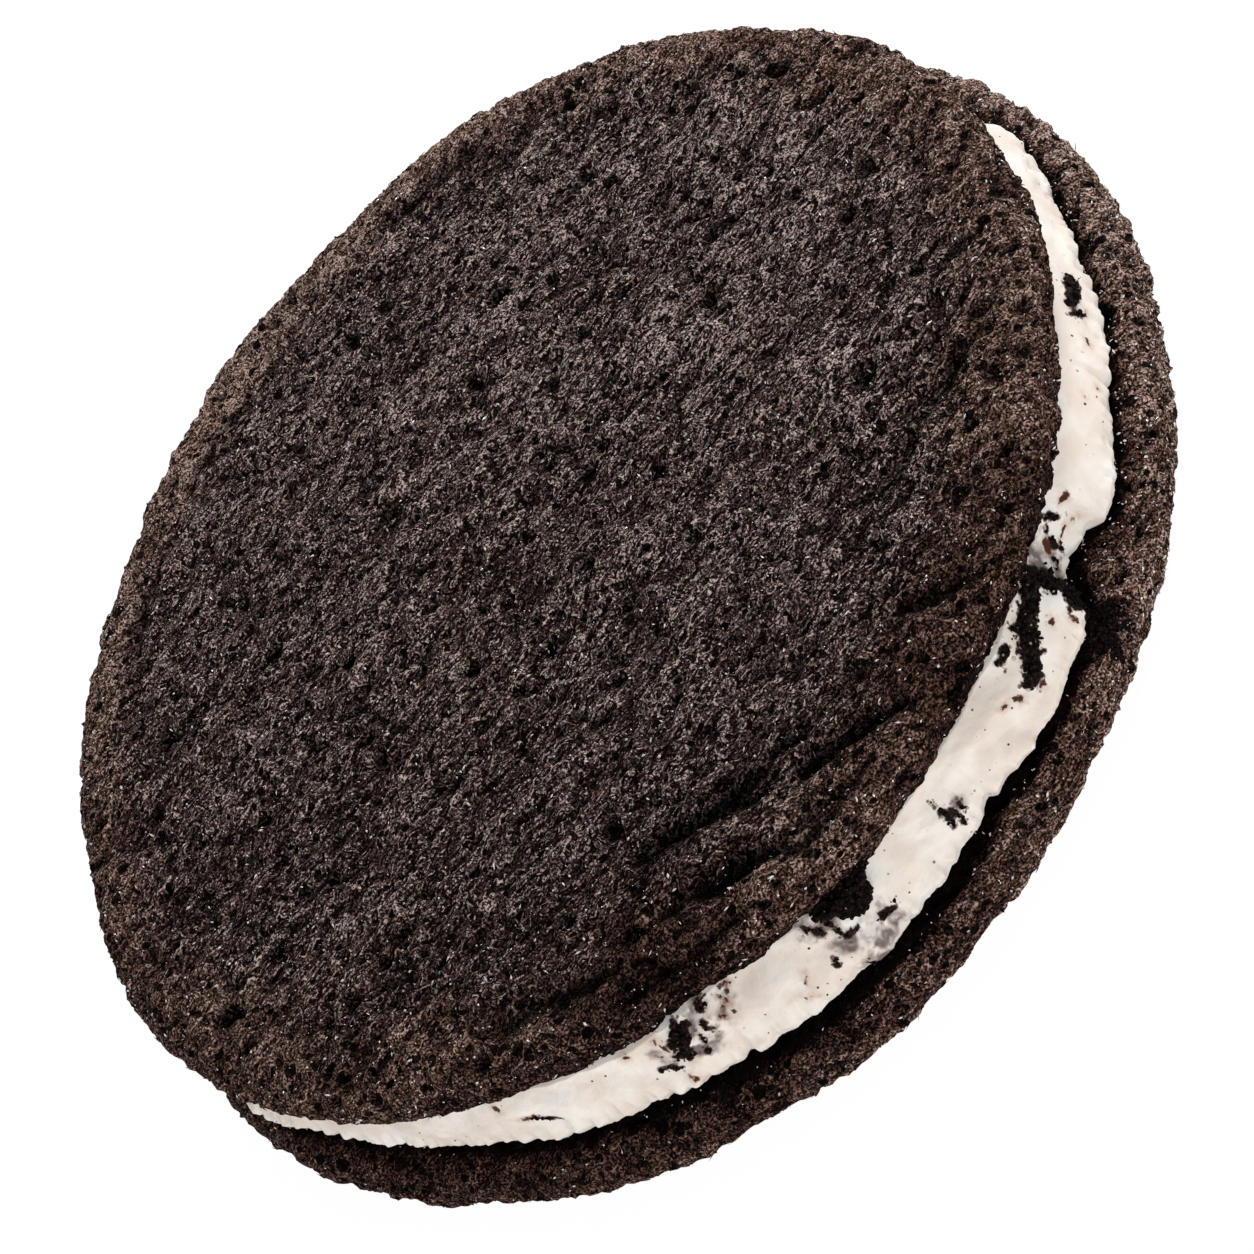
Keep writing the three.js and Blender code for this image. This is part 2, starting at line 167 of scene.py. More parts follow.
# Where the cream's lip is torn: the angle at which it steps back, by how much, and the turn over which it
# comes out again, in degrees.
LIP_TEARS = (
    (303.6, 1.3, -9), (276.6, 0.6, -3), (246.4, 0.3, -2.5), (318, 0.35, -4), (40, 0.6, 5), (95, 0.5, -4),
    (150, 0.3, 3),
)
# Streaks of crumb, of thin grey cream and of brown on the cream's side: from angle, height, to angle,
# height, half width.
CRUMB_STREAKS = (
    (328.2, 3.0, 325.2, 3.5, 0.46), (323.4, 3.7, 323.9, 2.8, 0.16), (301.3, 5.1, 300.7, 4.6, 0.25),
    (301.0, 4.4, 301.3, 4.0, 0.18), (301.5, 3.7, 301.7, 3.3, 0.17), (300.4, 3.8, 300.0, 3.6, 0.13),
    (299.7, 3.0, 299.4, 2.7, 0.18), (299.9, 2.3, 299.5, 2.1, 0.15), (298.2, 2.4, 297.7, 2.2, 0.14),
    (295.0, 4.6, 295.4, 2.9, 0.5), (295.4, 3.0, 295.1, 1.2, 0.75), (295.1, 1.2, 296.0, 0.3, 0.75),
    (294.1, 4.5, 289.6, 4.0, 0.6), (289.7, 3.9, 286.7, 2.8, 0.6), (287.7, 4.7, 286.1, 4.6, 0.25),
    (285.6, 3.0, 286.1, 2.4, 0.18), (272.7, 3.9, 272.7, 3.2, 0.1), (272.7, 3.2, 272.4, 2.2, 0.2),
    (273.2, 2.8, 273.1, 1.7, 0.13), (274.0, 2.6, 274.1, 2.2, 0.11), (259.1, 4.6, 259.4, 3.2, 0.12),
    (259.4, 3.2, 260.6, 3.1, 0.14), (257.2, 2.5, 257.0, 2.3, 0.18), (259.0, 0.9, 259.2, 0.3, 0.16),
    (262.7, 2.4, 263.8, 2.3, 0.25), (257.4, 4.9, 258.2, 4.2, 0.15), (245.7, 5.1, 245.3, 4.9, 0.25),
    (242.8, 4.7, 241.3, 3.3, 0.5), (241.6, 4.4, 241.2, 4.1, 0.25), (244.7, 4.2, 244.8, 3.6, 0.13),
    (243.7, 3.8, 243.7, 3.3, 0.12), (243.1, 2.7, 243.3, 2.7, 0.1), (240.3, 2.6, 238.4, 3.0, 0.12),
    (224.3, 3.1, 224.8, 3.0, 0.17), (225.4, 2.8, 226.0, 2.7, 0.14),
    (12, 2.0, 12.8, 2.4, 0.35), (36, 3.2, 38, 3.6, 0.5), (58, 1.6, 58.4, 1.8, 0.3), (92, 2.8, 94, 3.4, 0.5),
    (101, 1.8, 101.4, 1.9, 0.3), (127.6, 2.2, 128.6, 3.2, 0.4), (162, 3.0, 164, 3.4, 0.35),
)
GREY_STREAKS = (
    (298.7, 4.2, 296.0, 3.4, 0.75), (298.3, 2.7, 296.4, 2.2, 0.65), (261.2, 2.5, 261.6, 1.4, 0.5),
    (258.2, 3.2, 258.7, 2.4, 0.35), (259.0, 4.5, 259.3, 3.1, 0.4), (259.2, 1.2, 260.0, 0.4, 0.4),
    (257.4, 4.9, 258.2, 4.2, 0.4), (263.2, 2.7, 263.2, 1.6, 0.4), (248.3, 5.0, 246.6, 3.8, 0.35),
    (243.8, 4.1, 244.3, 2.8, 0.55), (242.5, 3.0, 243.6, 2.8, 0.4), (244.7, 5.1, 245.4, 4.7, 0.4),
    (239.2, 4.1, 239.9, 3.2, 0.3), (274.1, 2.9, 274.2, 2.4, 0.15), (327.0, 3.2, 324.0, 3.4, 0.2),
    (342.0, 0.8, 342.8, 0.3, 0.4), (93.0, 3.0, 96.0, 2.6, 0.8), (37.0, 3.2, 39.0, 2.6, 0.6),
    (163, 3.0, 160, 2.6, 0.6),
)
BROWN_STREAKS = (
    (299.0, 3.5, 298.7, 3.1, 0.22), (301.6, 2.4, 300.6, 2.4, 0.06), (303.0, 2.0, 302.5, 2.1, 0.07),
    (303.4, 4.0, 303.1, 3.8, 0.14), (291.8, 2.9, 291.7, 2.9, 0.11), (292.7, 2.0, 292.9, 1.7, 0.15),
    (286.6, 2.0, 286.3, 2.1, 0.17), (284.0, 3.2, 284.4, 2.9, 0.16), (282.8, 3.7, 283.2, 3.4, 0.1),
    (254.6, 3.0, 253.9, 2.5, 0.03), (252.7, 2.0, 253.9, 1.5, 0.0), (247.5, 3.7, 247.5, 3.6, 0.1),
    (241.4, 2.7, 241.5, 2.7, 0.18), (240.3, 1.6, 240.4, 1.5, 0.2), (239.9, 4.9, 240.5, 4.0, 0.1),
    (237.1, 5.0, 236.6, 5.0, 0.1), (221.8, 4.7, 221.9, 4.6, 0.15), (223.1, 3.2, 224.0, 3.1, 0.12),
    (226.2, 2.7, 226.8, 2.6, 0.12), (321.2, 2.7, 320.6, 2.5, 0.08), (324.6, 2.4, 324.4, 2.4, 0.08),
    (316.2, 2.0, 316.1, 2.0, 0.04), (314.3, 3.2, 314.2, 3.2, 0.07), (94, 1.6, 95, 1.4, 0.1),
    (61, 3.2, 61.4, 3.0, 0.08), (140, 3.8, 140.2, 3.7, 0.1),
)
# A row of small pits in the thin cream: angle, height.
CREAM_PITS = (
    (248.5, 4.9), (248.1, 4.6), (248.0, 5.0), (247.5, 4.3), (247.0, 4.1), (246.4, 3.8), (247.4, 4.6),
)
# The large round crumb under the upper wafer's rim: its angle, and then for it and for the crumbs that join
# it to the rim their count, reach, height over the cream and radii.
BIG_LUMP_ANGLE = 262.2
BIG_LUMP = ((850, 37.3, -0.45, (1.3, 1.15, 1.2)), (500, 37.2, 0.45, (2.3, 1.1, 0.8)))
# Crumbs fallen on the lower wafer beside the lip: angle, reach, spread.
FALLEN = ((295.2, 38.5, 0.6), (293.2, 38.8, 0.45), (241.0, 38.3, 0.3), (36, 38.9, 0.6), (93, 38.8, 0.5))

# ---- Random fields ----

# The factors and the mask that turn a cell's indices and a seed into a random number.
PRIMES = np.array([73856093, 19349663, 83492791], np.int64)
SEED_STEP = 40503
MIXERS = (1274126177, 974711, 668265263)
LAST_32_BITS = 0xFFFFFFFF
# Gradient noise is scaled by this much, to reach about -1 to 1.
NOISE_GAIN = 1.7
CORNERS = tuple(np.array(c) for c in product((0, 1), repeat=3))
NEIGHBOURS = tuple(np.array(c) for c in product((-1, 0, 1), repeat=3))


def cell_random(cell, seed):
    """A repeatable random number from 0 to 1 for each whole-number cell: its indices and the seed are mixed
    into 32 bits."""
    mixed = ((cell * PRIMES).sum(-1) + seed * SEED_STEP) & LAST_32_BITS
    for factor in MIXERS:
        mixed = ((mixed ^ (mixed >> 15)) * factor) & LAST_32_BITS
    return mixed / 2.0**32


def cell_triple(cell, seed):
    """Three random numbers from 0 to 1 for each cell, as a place in it or a slope."""
    return np.stack([cell_random(cell, seed + k) for k in range(3)], -1)


def smooth_noise(points, seed):
    """Gradient noise, about -1 to 1: each lattice corner holds a random slope, and the slopes are blended
    with the fifth-degree ease curve."""
    base = np.floor(points).astype(np.int64)
    part = points - base
    ease = part**3 * (part * (part * 6 - 15) + 10)
    total = np.zeros(points.shape[:-1])
    for corner in CORNERS:
        cell = base + corner
        slope = cell_triple(cell, seed) * 2 - 1
        weight = np.where(corner, ease, 1 - ease).prod(-1)
        total += weight * ((part - corner) * slope).sum(-1)
    return total * NOISE_GAIN


def layered_noise(points, wavelength, layers, seed, fade=0.5):
    """Octaves of smooth noise: each layer has half the wavelength and `fade` times the height of the last,
    and is shifted, so that the layers' lattices don't meet at the origin."""
    total = 0
    for k in range(layers):
        total = total + fade**k * smooth_noise(points * 2**k / wavelength + 17.3 * k, seed + 11 * k)
    return total


def plates(points, wavelength, layers, seed, fade=0.5):
    """Rounded plates parted by narrow creases: octaves of noise with its sign dropped, so that each place
    where the noise crosses zero becomes a crease, and with its heights cut level. For one octave -0.34 in the
    creases and 0.46 on the plates."""
    total = 0
    for k in range(layers):
        noise = np.abs(smooth_noise(points * 2**k / wavelength + 9.7 * k, seed + 13 * k))
        total = total + fade**k * (np.minimum(noise * 1.6, 0.8) - 0.34)
    return total


def pore_field(points, spacing, smallest, largest, seed):
    """How far inside a pore each point is, 0 to 1. One ball sits at a random place in every lattice cell,
    most of them small, and the field is 1 less the distance to a ball's middle in its own radii, where that
    is largest."""
    base = np.floor(points / spacing).astype(np.int64)
    inside = np.zeros(points.shape[:-1])
    for step in NEIGHBOURS:
        cell = base + step
        middle = (cell + cell_triple(cell, seed)) * spacing
        radius = smallest + (largest - smallest) * cell_random(cell, seed + 3) ** 2
        away = np.linalg.norm(points - middle, axis=-1) / radius
        inside = np.maximum(inside, 1 - away)
    return inside


def smoothstep(low, high, value):
    """0 up to the low value and 1 from the high one, with the third-degree ease curve between them."""
    share = np.clip((value - low) / (high - low), 0, 1)
    return share * share * (3 - 2 * share)


def turn_between(angle, degrees):
    """The signed turn from a direction in degrees to each angle in radians, by the shorter way."""
    return (angle - math.radians(degrees) + math.pi) % (2 * math.pi) - math.pi


def lobed(angle, lobes):
    """Sum of bell curves round the circle, each 1 at its middle and fading over its half width."""
    total = np.zeros_like(angle)
    for middle, half_width, height in lobes:
        total += height * np.exp(-((turn_between(angle, middle) / math.radians(half_width)) ** 2))
    return total


def near_path(x, y, path, width):
    """1 on a line of straight stretches, falling to 0 half a width away, and tapering at both ends."""
    best = np.zeros_like(x)
    lengths = [math.dist(a, b) for a, b in zip(path, path[1:])]
    done = 0
    for (ax, ay), (bx, by), length in zip(path, path[1:], lengths):
        along = np.clip(((x - ax) * (bx - ax) + (y - ay) * (by - ay)) / length**2, 0, 1)
        away = np.hypot(x - ax - along * (bx - ax), y - ay - along * (by - ay))
        share = (done + along * length) / sum(lengths)
        taper = np.sqrt(np.clip(4 * share * (1 - share), 0, 1))
        best = np.maximum(best, taper * np.clip(1 - away / (width / 2), 0, 1))
        done += length
    return best


# ---- Making pieces ----


def new_piece(name, points, faces, material, smooth=True, attributes=None):
    """Puts a mesh of millimetre points into the scene in metres, riding on the cookie's one body."""
    mesh = bpy.data.meshes.new(name)
    corners = faces.shape[1]
    mesh.vertices.add(len(points))
    mesh.vertices.foreach_set("co", (points * MM).astype(np.float32).ravel())
    mesh.loops.add(faces.size)
    mesh.loops.foreach_set("vertex_index", faces.astype(np.int32).ravel())
    mesh.polygons.add(len(faces))
    mesh.polygons.foreach_set("loop_start", np.arange(0, faces.size, corners, dtype=np.int32))
    mesh.polygons.foreach_set("use_smooth", np.full(len(faces), smooth))
    mesh.update(calc_edges=True)
    mesh.validate()
    for label, values in (attributes or {}).items():
        layer = mesh.attributes.new(label, "FLOAT", "POINT")
        layer.data.foreach_set("value", values.astype(np.float32))
    mesh.materials.append(material)
    piece = bpy.data.objects.new(name, mesh)
    bpy.context.scene.collection.objects.link(piece)
    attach(piece, "root")
    return piece


def grid_faces(rows, columns, closed=False):
    """Quads between neighbouring rows and columns of a grid. A closed grid joins its last column to its
    first."""
    row, column = np.mgrid[0 : rows - 1, 0 : columns if closed else columns - 1]
    beside = (column + 1) % columns
    here = row * columns
    quads = np.stack([here + column, here + beside, here + columns + beside, here + columns + column], -1)
    return quads.reshape(-1, 4)


def diagonal_cross(points, quads):
    """The cross product of each quad's diagonals: it points outwards and is twice the quad's area long."""
    corners = points[quads]
    return np.cross(corners[:, 2] - corners[:, 0], corners[:, 3] - corners[:, 1])


def point_normals(points, quads):
    """Each point's outward direction: the cross products of the quads' diagonals, added up at their
    corners."""
    of_face = diagonal_cross(points, quads)
    total = np.zeros_like(points)
    for corner in quads.T:
        for axis in range(3):
            total[:, axis] += np.bincount(corner, of_face[:, axis], len(points))
    return unit(total)


def unit(vectors):
    """Each vector divided by its length."""
    return vectors / np.maximum(np.linalg.norm(vectors, axis=-1, keepdims=True), 1e-12)


# ---- Wafers ----


class Wafer(NamedTuple):
    """What sets one wafer apart: its outline, its marks, where it lies, which way its outer face looks, the
    grid that it is made on, and the painted light and shade on one side and on stretches of its rim."""

    radius: float
    lobes: tuple
    furrows: tuple
    ridges: tuple
    pits: tuple
    middle: tuple
    upward: bool
    seed: int
    face_steps: int
    rim_rows: int
    base_rows: int
    base_inner: float
    one_sided_light: float
    rim_light: tuple


# Stretches of rim painted lighter or darker, as painted light and shade: angle and half width in degrees, and
# how much lighter.
UPPER_RIM_LIGHT = (
    (110, 70, 0.72), (212, 24, 0.22), (246, 9, -0.45), (264, 10, 0.4), (279, 8, -0.25), (295, 14, -0.26),
)
LOWER_RIM_LIGHT = ((0, 400, 0.3), (237, 24, -0.28), (280, 9, -0.12), (312, 10, -0.15))

UPPER = Wafer(
    radius=UPPER_RADIUS, lobes=UPPER_LOBES, furrows=UPPER_FURROWS, ridges=UPPER_RIDGES, pits=UPPER_PITS,
    middle=UPPER_MIDDLE, upward=True, seed=100, face_steps=264, rim_rows=25, base_rows=2, base_inner=34.5,
    one_sided_light=0.24, rim_light=UPPER_RIM_LIGHT,
)
LOWER = Wafer(
    radius=LOWER_RADIUS, lobes=LOWER_LOBES, furrows=LOWER_FURROWS, ridges=(), pits=(),
    middle=LOWER_MIDDLE, upward=False, seed=5000, face_steps=230, rim_rows=30, base_rows=16, base_inner=33.5,
    one_sided_light=0.35, rim_light=LOWER_RIM_LIGHT,
)

# The side towards which the wafers are painted lighter, as painted light, and the stretch of rim with the
# most
# # crevices: its middle and half width in degrees, and their strength.
LIT_SIDE = math.radians(15)
TORN_RIM = (5, 55, 1)
STRAND_DIRECTION = math.radians(-10)
# How far the baked surface lies inside the plain wafer on average, so that its crags stay within it.
SKIN = 0.22
# How far every point stays inside the CAD box.
BOX_MARGIN = 0.02
# The zones by the rim, as distances in from the wafer's edge: where each starts and where it is full.
CREVICE_ZONE = (12, 4)
BROWN_ZONE = (9, 1.5)
# A furrow or pit this deep gets the darkest painted shade, and so does a pore of this depth.
DARK_MARK_DEPTH = 0.58
DARK_PORE_DEPTH = 0.3


def disc_grid(steps):
    """A square grid bent to a disc of radius 1: a point on the square ring of half side s goes to radius s,
    at an angle that runs evenly along the ring's sides."""
    line = np.linspace(-1, 1, steps)
    a, b = np.meshgrid(line, line, indexing="xy")
    wide = np.abs(a) > np.abs(b)
    ring = np.where(wide, a, b)
    safe = np.where(ring == 0, 1, ring)
    angle = np.where(wide, math.pi / 4 * b / safe, math.pi / 2 - math.pi / 4 * a / safe)
    return ring * np.cos(angle), ring * np.sin(angle)


def border_of(steps):
    """Indices round the edge of a square grid, anticlockwise from its lowest corner."""
    index = np.arange(steps * steps).reshape(steps, steps)
    return np.concatenate([index[0, :-1], index[:-1, -1], index[-1, :0:-1], index[:0:-1, 0]])


def plain_wafer(wafer):
    """A smooth wafer as points and quads, with its outer face at +thickness and its base at 0. The face is a
    disc grid. Its edge is carried over a half-ellipse rim and in along the base to a ring, from where the
    base is closed by quads to its middle."""
    inner = wafer.radius - RIM_ROUNDING
    x, y = disc_grid(wafer.face_steps)
    face = np.stack([x.ravel() * inner, y.ravel() * inner, np.full(x.size, WAFER_THICKNESS)], -1)
    border = border_of(wafer.face_steps)
    around = np.arctan2(face[border, 1], face[border, 0])
    turn = np.linspace(math.pi / 2, -math.pi / 2, wafer.rim_rows + 1)[1:]
    half = WAFER_THICKNESS / 2
    inward = np.linspace(inner, wafer.base_inner, wafer.base_rows + 1)[1:]
    reach = np.concatenate([inner + RIM_ROUNDING * np.cos(turn), inward])
    height = np.concatenate([half + half * np.sin(turn), np.zeros(wafer.base_rows)])
    profile_at = ((reach, np.cos(around)), (reach, np.sin(around)), (height, np.ones_like(around)))
    rim = np.stack([np.outer(rows, columns) for rows, columns in profile_at], -1).reshape(-1, 3)
    points = np.concatenate([face, rim, [[0, 0, 0]]])
    loop = np.concatenate([border[None], np.arange(len(rim)).reshape(-1, len(border)) + len(face)])
    beside = np.roll(loop, -1, axis=1)
    rim_quads = np.stack([loop[:-1], loop[1:], beside[1:], beside[:-1]], -1).reshape(-1, 4)
    last = loop[-1]
    close_quads = np.stack(
        [np.full(len(last) // 2, len(points) - 1), np.roll(last, -2)[0::2], last[1::2], last[0::2]], -1
    )
    return points, np.concatenate([grid_faces(wafer.face_steps, wafer.face_steps), rim_quads, close_quads])


def waves_at(x, y):
    """Slow sine waves in the directions and lengths of FACE_WAVES."""
    total = np.zeros_like(x)
    for length, direction, height, phase in FACE_WAVES:
        along = x * math.cos(math.radians(direction)) + y * math.sin(math.radians(direction))
        total += height * np.sin(2 * math.pi * along / length + phase)
    return total


def along_strands(points, stretch):
    """Points turned so that the first axis runs along the crumb's strands, and shrunk along it."""
    c, s = math.cos(STRAND_DIRECTION), math.sin(STRAND_DIRECTION)
    turned = points @ np.array([[c, -s, 0.11], [s, c, 0.17], [-0.07, -0.22, 0.97]])
    return turned * np.array([1 / stretch, 1, 1])


def near_edge(wafer, zone, reach):
    """0 outside a zone by the wafer's edge, 1 from where it is full."""
    start, full = zone
    return smoothstep(wafer.radius - start, wafer.radius - full, reach)


def pore_depths(wafer, points, warp, rim, spacing, depth):
    """How deep the pores go at each point: long ones along the strands and round ones, both deeper at the
    rim, and near the rim crevices, shallow half way up it, so that its outline stays whole."""
    x, y, height = points.T
    long_pores = pore_field(along_strands(points + 0.3 * warp, 1.7), spacing, 0.16, 0.62, wafer.seed + 300)
    round_pores = pore_field(points + 0.2 * warp, spacing * 0.8, 0.14, 0.5, wafer.seed + 350)
    pores = depth * np.maximum(smoothstep(0, 0.7, long_pores), 0.8 * smoothstep(0, 0.7, round_pores))
    pores *= 1 + 0.4 * rim
    crevices = pore_field(along_strands(points + 0.4 * warp, 1.5), 1.3, 0.2, 0.78, wafer.seed + 600)
    torn = near_edge(wafer, CREVICE_ZONE, np.hypot(x, y)) * (0.3 + 0.7 * lobed(np.arctan2(y, x), (TORN_RIM,)))
    torn *= 1 - 0.8 * np.exp(-(((height - WAFER_THICKNESS / 2) / 1.3) ** 2))
    return np.maximum(pores, 1.2 * depth * smoothstep(0, 0.6, crevices) * torn)


def face_marks(wafer, x, y):
    """How deep the furrows and the pits with round bottoms cut the outer face, less the ridges' height."""
    cut = np.zeros_like(x)
    for path, width, depth in wafer.furrows:
        cut = np.maximum(cut, depth * near_path(x, y, path, width * 1.15) ** 0.8)
    for pit_x, pit_y, width in wafer.pits:
        away = np.hypot(x - pit_x, y - pit_y) / (width / 2)
        cut = np.maximum(cut, 0.5 * width * np.sqrt(np.clip(1 - away**2, 0, 1)))
    for path, width, rise in wafer.ridges:
        cut -= rise * smoothstep(0, 1, near_path(x, y, path, width * 1.6))
    return cut


def face_lift(wafer, x, y, reach):
    """How far the outer face stands out from a level one: a dome with slow waves on the upper wafer. The
    lower one has a flat spot to rest on, and round it the face draws in, unevenly, towards the rim."""
    inner = wafer.radius - RIM_ROUNDING
    waves = waves_at(x, y)
    if wafer.upward:
        share = np.clip(reach / inner, 0, 1)
        return UPPER_DOME * (1 - share**2) + waves * (1 - 0.65 * smoothstep(inner - 2, inner, reach))
    share = np.clip((reach - REST_RADIUS) / (inner - REST_RADIUS), 0, 1)
    return -share * (UNDERSIDE_RISE + 0.5 * (1 - share) * np.abs(waves))


def to_lit_side(wafer, x, y):
    """How far towards the side painted lighter, as a share of the wafer's radius."""
    return (x * math.cos(LIT_SIDE) + y * math.sin(LIT_SIDE)) / wafer.radius


def under_shade(wafer, angle, height, reach):
    """How much light gets to the upper wafer's rim, less low down, or to the lower wafer's inner face, less
    towards the cream's lip and under it."""
    if wafer.upward:
        return 0.5 + 0.5 * smoothstep(0.8, 3.6, height)
    slip_angle = math.atan2(LOWER_SLIP[1], LOWER_SLIP[0])
    lip = cream_radius(angle, np.full_like(angle, LIP_HEIGHT))
    lip = lip - math.hypot(*LOWER_SLIP) * np.cos(angle - slip_angle)
    groove = 0.6 * smoothstep(lip - 0.2, lip + 0.9, reach) + 0.4 * smoothstep(lip, lip + 2.2, reach)
    return np.where(height < 0.3, 0.08 + 0.92 * groove, 1)


@lru_cache(maxsize=None)
def baked(wafer, pore_spacing, pore_depth):
    """A baked wafer's points, quads, outward directions and attributes.

    The plain wafer is stretched to its lobes and pushed in or out along its own outward directions: by slow
    crags, by plates stretched along the strands and parted by creases, by crumble at the rim, by pores and
    crevices, and on the outer face by the furrows, ridges and pits."""
    points, quads = plain_wafer(wafer)
    normals = point_normals(points, quads)
    x, y, height = points.T
    reach = np.hypot(x, y)
    angle = np.arctan2(y, x)
    on_face = smoothstep(WAFER_THICKNESS * 0.55, WAFER_THICKNESS, height)
    hidden = (height < 0.02) & (reach < LIP_RADIUS - CREAM_FOOT_DRAW - 0.3)
    rim = near_edge(wafer, (RIM_ROUNDING + 2.5, 0.6), reach)

    seed = wafer.seed
    warp = np.stack([layered_noise(points, 3.1, 2, seed + 50 + k) for k in range(3)], -1)
    craggy = points + 0.55 * warp
    crags = 0.2 * layered_noise(along_strands(craggy, 1.6), 3.6, 2, seed)
    crust = 0.42 * (1 - 0.3 * rim) * plates(along_strands(craggy, 2.1), 1.7, 3, seed + 100, fade=0.6)
    crumble = 0.14 * rim * plates(craggy, 1.25, 2, seed + 250, fade=0.6)
    patches = layered_noise(along_strands(craggy, 1.8), 6.5, 3, seed + 400, fade=0.7)
    pores = pore_depths(wafer, points, warp, rim, pore_spacing, pore_depth)
    cut = on_face * face_marks(wafer, x + 0.45 * warp[:, 0], y + 0.45 * warp[:, 1])

    push = np.where(hidden, 0.0, crags + crust + crumble - pores) - cut - SKIN
    grown = 1 + lobed(angle, wafer.lobes) * (reach / wafer.radius) ** 2 / wafer.radius
    shaped = points * np.stack([grown, grown, np.ones_like(grown)], -1) + normals * push[:, None]
    shaped[:, 2] += on_face * face_lift(wafer, x, y, reach)
    if wafer.upward:
        shaped += np.array([*wafer.middle, UPPER_BASE])
    else:
        shaped = shaped * np.array([1, 1, -1]) + np.array([*wafer.middle, LOWER_FACE])
        quads = quads[:, ::-1]
    shaped = np.clip(shaped, BOX_LOW + BOX_MARGIN, BOX_HIGH - BOX_MARGIN)

    # Painted light and shade, carried by the shade attribute: lighter on raised crumb and darker low between,
    # with random patches, lighter towards the lit side, lighter or darker on stretches of rim, and less light
    # low on the upper rim and by the cream's lip.
    raised = (crust + crumble + 0.6 * crags) / 0.22
    brown = near_edge(wafer, BROWN_ZONE, reach + 1.5 * patches)
    shade = (0.6 + 0.55 * smoothstep(-1.1, 1.0, raised)) * (1 + 0.14 * patches)
    # Painted light: lighter towards the lit side.
    shade *= 1 + wafer.one_sided_light * to_lit_side(wafer, x, y)
    # Painted light and shade on stretches of rim.
    shade *= 1 + brown * lobed(angle, wafer.rim_light)
    shade *= under_shade(wafer, angle, height, reach)
    attributes = {
        # Painted shade in pores, furrows and pits.
        "hollow": np.clip(pores / DARK_PORE_DEPTH + cut / DARK_MARK_DEPTH, 0, 1),
        "rim": brown,
        "shade": np.clip(shade, 0.1, 1.8),
        "hidden": hidden * 1.0,
    }
    return shaped, quads, point_normals(shaped, quads), attributes


def baked_shape(wafer, settings):
    """The baked wafer with the pores of the settings."""
    return baked(wafer, settings.pore_spacing / MM, settings.pore_depth / MM)


# ---- Crumb on the wafers ----


def ball(columns, rows):
    """A unit ball's points on circles of latitude with a point at each pole, and its triangles."""
    longitude = np.linspace(0, 2 * math.pi, columns, endpoint=False)
    latitude = np.linspace(-math.pi / 2, math.pi / 2, rows + 2)[1:-1]
    longitude, latitude = np.meshgrid(longitude, latitude, indexing="xy")
    longitude = longitude + np.arange(rows)[:, None] * math.pi / columns
    side = np.stack(
        [np.cos(latitude) * np.cos(longitude), np.cos(latitude) * np.sin(longitude), np.sin(latitude)], -1
    ).reshape(-1, 3)
    quads = grid_faces(rows, columns, closed=True)
    first = np.arange(columns)
    beside = (first + 1) % columns
    top = (rows - 1) * columns
    south = np.stack([np.full(columns, len(side)), beside, first], -1)
    north = np.stack([np.full(columns, len(side) + 1), first + top, beside + top], -1)
    triangles = np.concatenate([quads[:, [0, 1, 3]], quads[:, [1, 2, 3]], south, north])
    return np.concatenate([side, [[0, 0, -1], [0, 0, 1]]]), triangles


# A spindle is an octahedron: both ends of each of its three axes.
SPINDLE_POINTS = np.array([[-1, 0, 0], [1, 0, 0], [0, -1, 0], [0, 1, 0], [0, 0, -1], [0, 0, 1.0]])
SPINDLE_FACES = np.array(
    [[1, 3, 5], [3, 0, 5], [0, 2, 5], [2, 1, 5], [3, 1, 4], [0, 3, 4], [2, 0, 4], [1, 2, 4]]
)
CURL_STEPS = 4


def random_spots(shape, weight, count, random):
    """Random places on a baked wafer: quads are drawn by area times weight, and a place in each is drawn
    evenly over its two sides. Gives the places, the outward directions and the index of a nearby point."""
    points, quads, normals, _ = shape
    area = np.linalg.norm(diagonal_cross(points, quads), axis=1) / 2
    total = np.cumsum(area * weight[quads].mean(1))
    pick = np.searchsorted(total, random.random(count) * total[-1])
    s, t = random.random((2, count, 1))
    shares = ((1 - s) * (1 - t), s * (1 - t), s * t, (1 - s) * t)
    place = sum(share * points[quads[pick, k]] for k, share in enumerate(shares))
    outward = unit(sum(share * normals[quads[pick, k]] for k, share in enumerate(shares)))
    return place, outward, quads[pick, 0]


def lying_frames(outward, heading):
    """Three directions for each spot: along the surface as near as it can be to the heading angle, which also
    slants up or down a little, across that, and outward."""
    wish = np.stack([np.cos(heading), np.sin(heading), 0.25 * np.sin(5 * heading)], -1)
    along = unit(wish - (wish * outward).sum(-1, keepdims=True) * outward)
    return np.stack([along, np.cross(outward, along), outward], 1)


def set_down(shape_points, shape_faces, place, frames, size):
    """Copies of a small shape: each is stretched by its sizes along its own three directions and set at its
    place. `shape_points` is one set of points for all, or one set for each. Copies that would cross the CAD
    box are left out. Gives the points, the triangles and which copies were kept."""
    shape_points = np.broadcast_to(shape_points, (len(place), *shape_points.shape[-2:]))
    points = np.einsum("nki,nij->nkj", shape_points * size[:, None], frames) + place[:, None]
    margin = BOX_MARGIN / 2
    kept = ((points > BOX_LOW + margin) & (points < BOX_HIGH - margin)).all((1, 2))
    points = points[kept]
    faces = shape_faces[None] + (np.arange(len(points)) * points.shape[1])[:, None, None]
    return points.reshape(-1, 3), faces.reshape(-1, 3), kept


def short_strands(count, length, width, random):
    """Bent spindles of crumb, in millimetres, along the first axis, with their ends dipped in the crumb."""
    half_length = random.uniform(0.55, 1.45, count) * length / 2
    half_width = random.uniform(0.7, 1.35, count) * width / 2
    half_height = random.uniform(0.6, 1.1, count) * width / 2
    size = np.stack([half_length, half_width, half_height], -1)
    bent = SPINDLE_POINTS + np.zeros((count, 1, 1))
    bent[:, :2, 1] = random.normal(0, 1.0, (count, 1))
    bent[:, :2, 2] = -0.7
    return bent * size[:, None], SPINDLE_FACES


